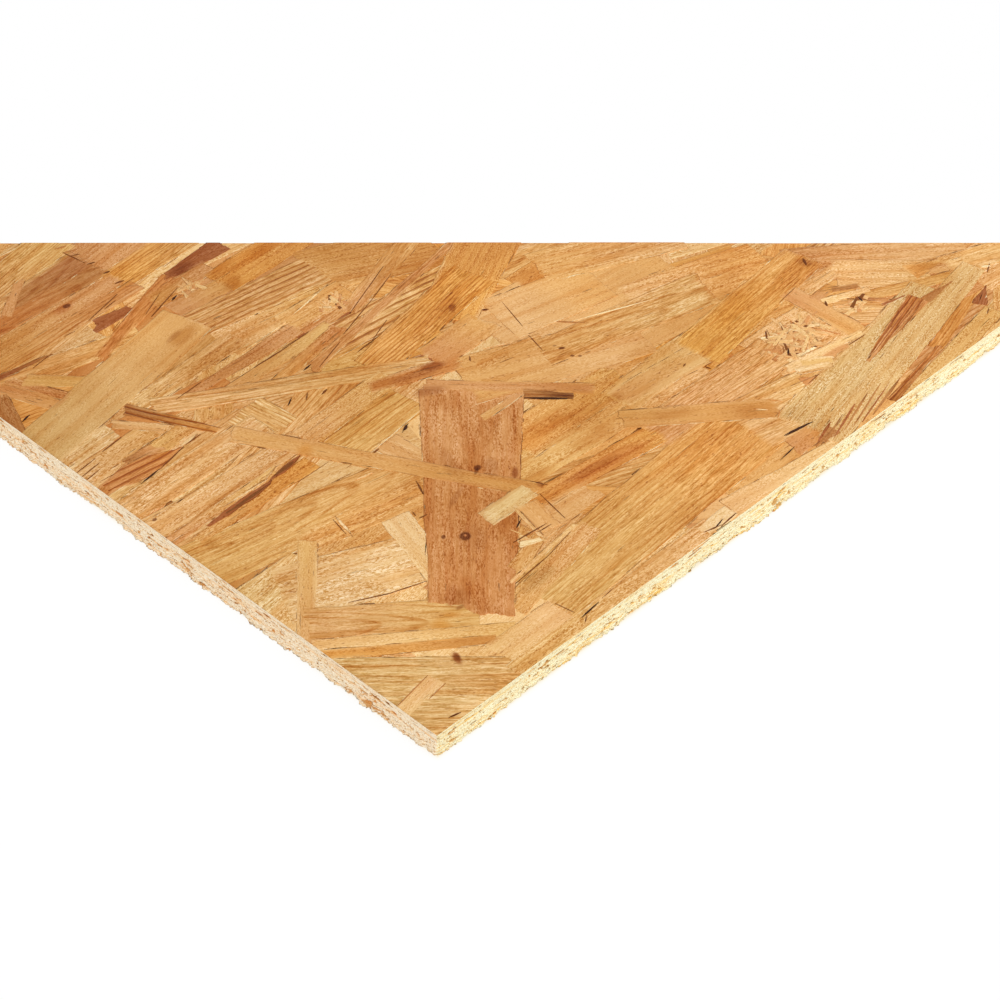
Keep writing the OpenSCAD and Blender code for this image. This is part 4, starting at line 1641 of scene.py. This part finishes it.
class BOARD_OT_stage(Operator):
    """Set the floor, the light and the camera of the photograph"""

    bl_idname = "board.stage"
    bl_label = "Stage"

    def execute(self, context):
        stage = context.scene.stage_settings
        self.floor(stage)
        self.light(context.scene, stage)
        self.camera(context.scene, stage)
        context.scene.view_settings.view_transform = "Standard"
        return {"FINISHED"}

    def floor(self, stage):
        mesh = bpy.data.meshes.new("studio_floor")
        square = ((-1, -1), (1, -1), (1, 1), (-1, 1))
        corners = [(x * FLOOR_REACH, y * FLOOR_REACH, FLOOR_DROP) for x, y in square]
        mesh.from_pydata(corners, [], [(0, 1, 2, 3)])
        mesh.materials.append(floor_material(stage))
        floor = bpy.data.objects.new("studio_floor", mesh)
        bpy.context.scene.collection.objects.link(floor)

    def light(self, scene, stage):
        """Even light from all round, a soft main lamp and a near one on the right, so that the left is
        darker."""
        world = scene.world or bpy.data.worlds.new("studio")
        scene.world = world
        world.use_nodes = True
        finish = Finish(world.node_tree)
        white = (1, 1, 1, 1)
        sky = finish.add("ShaderNodeBackground", None, {"Color": white, "Strength": stage.sky_strength})
        backdrop = finish.add("ShaderNodeBackground", None, {"Color": white, "Strength": 1.0})
        mixed = finish.add("ShaderNodeMixShader", None, {0: seen_directly(finish), 1: sky, 2: backdrop})
        finish.add("ShaderNodeOutputWorld", None, {"Surface": mixed})
        key = bpy.data.lights.new("key_lamp", "SUN")
        key.energy = stage.key_strength
        key.color = stage.key_colour
        key.angle = np.radians(LIGHT_SPREAD)
        self.hang(scene, key, LIGHT_FROM)
        side = bpy.data.lights.new("side_lamp", "AREA")
        side.energy = stage.side_strength
        side.size = SIDE_SIZE
        lamp = self.hang(scene, side, SIDE_FROM)
        lamp.location = Vector((*NEAR_CORNER, HIGH[2]) + np.array(SIDE_PLACE)) * MM

    def hang(self, scene, light, shines_from):
        """Puts a lamp into the scene that shines from a direction."""
        lamp = bpy.data.objects.new(light.name, light)
        lamp.rotation_mode = "QUATERNION"
        lamp.rotation_quaternion = Vector(shines_from).to_track_quat("Z", "Y")
        scene.collection.objects.link(lamp)
        return lamp

    def camera(self, scene, stage):
        """Aims at a point near the upper near corner. The sheet is cut off where the photograph cuts it,
        at the depth at which the crop row meets the upper face."""
        azimuth, elevation = stage.azimuth, stage.elevation
        back = Vector((
            np.sin(azimuth) * np.cos(elevation), -np.cos(azimuth) * np.cos(elevation), np.sin(elevation)
        ))
        right = Vector((np.cos(azimuth), np.sin(azimuth), 0))
        up = back.cross(right)
        corner = Vector((LOW[0], LOW[1], HIGH[2])) * MM
        eye = corner + right * stage.aim_right + up * stage.aim_up + back * stage.distance
        data = bpy.data.cameras.new("photo_camera")
        data.lens = stage.lens
        steepness = (PICTURE_SIZE / 2 - CROP_ROW) / PICTURE_SIZE * data.sensor_width / stage.lens
        data.clip_start = CLIP_START
        data.clip_end = (eye.z - corner.z) / (back.z - up.z * steepness)
        camera = bpy.data.objects.new("photo_camera", data)
        turn = Matrix((right, up, back)).transposed()
        camera.matrix_world = Matrix.Translation(eye) @ turn.to_4x4()
        scene.collection.objects.link(camera)
        scene.camera = camera


class BOARD_PT_sheet(Panel):
    """Lists the pieces of the sheet in the order in which they are built"""

    bl_idname = "BOARD_PT_sheet"
    bl_label = "Strand Board Sheet"
    bl_space_type = "VIEW_3D"
    bl_region_type = "UI"
    bl_category = "Strand Board"

    def draw(self, context):
        for group in (context.scene.board_sizes, context.scene.strand_tints, context.scene.stage_settings):
            for name in group.__class__.__annotations__:
                self.layout.prop(group, name)
        for operator in OPERATORS:
            self.layout.operator(operator.bl_idname)


OPERATORS = (
    BOARD_OT_core,
    BOARD_OT_sawn_edges,
    BOARD_OT_edge_splinters,
    BOARD_OT_face_strands,
    BOARD_OT_back_strands,
    BOARD_OT_pit_fines,
    BOARD_OT_corner_strands,
    BOARD_OT_torn_fibres,
    BOARD_OT_stage,
)
GROUPS = {"strand_tints": StrandTints, "board_sizes": BoardSizes, "stage_settings": StageSettings}


def register():
    for kind in (*GROUPS.values(), *OPERATORS, BOARD_PT_sheet):
        bpy.utils.register_class(kind)
    for name, group in GROUPS.items():
        setattr(bpy.types.Scene, name, PointerProperty(type=group))


def unregister():
    for name in GROUPS:
        delattr(bpy.types.Scene, name)
    for kind in (BOARD_PT_sheet, *reversed(OPERATORS), *GROUPS.values()):
        bpy.utils.unregister_class(kind)


def main():
    register()
    bpy.ops.board.core()
    bpy.ops.board.sawn_edges()
    bpy.ops.board.edge_splinters()
    bpy.ops.board.face_strands()
    bpy.ops.board.back_strands()
    bpy.ops.board.pit_fines()
    bpy.ops.board.corner_strands()
    bpy.ops.board.torn_fibres()
    bpy.ops.board.stage()


if __name__ == "__main__":
    main()
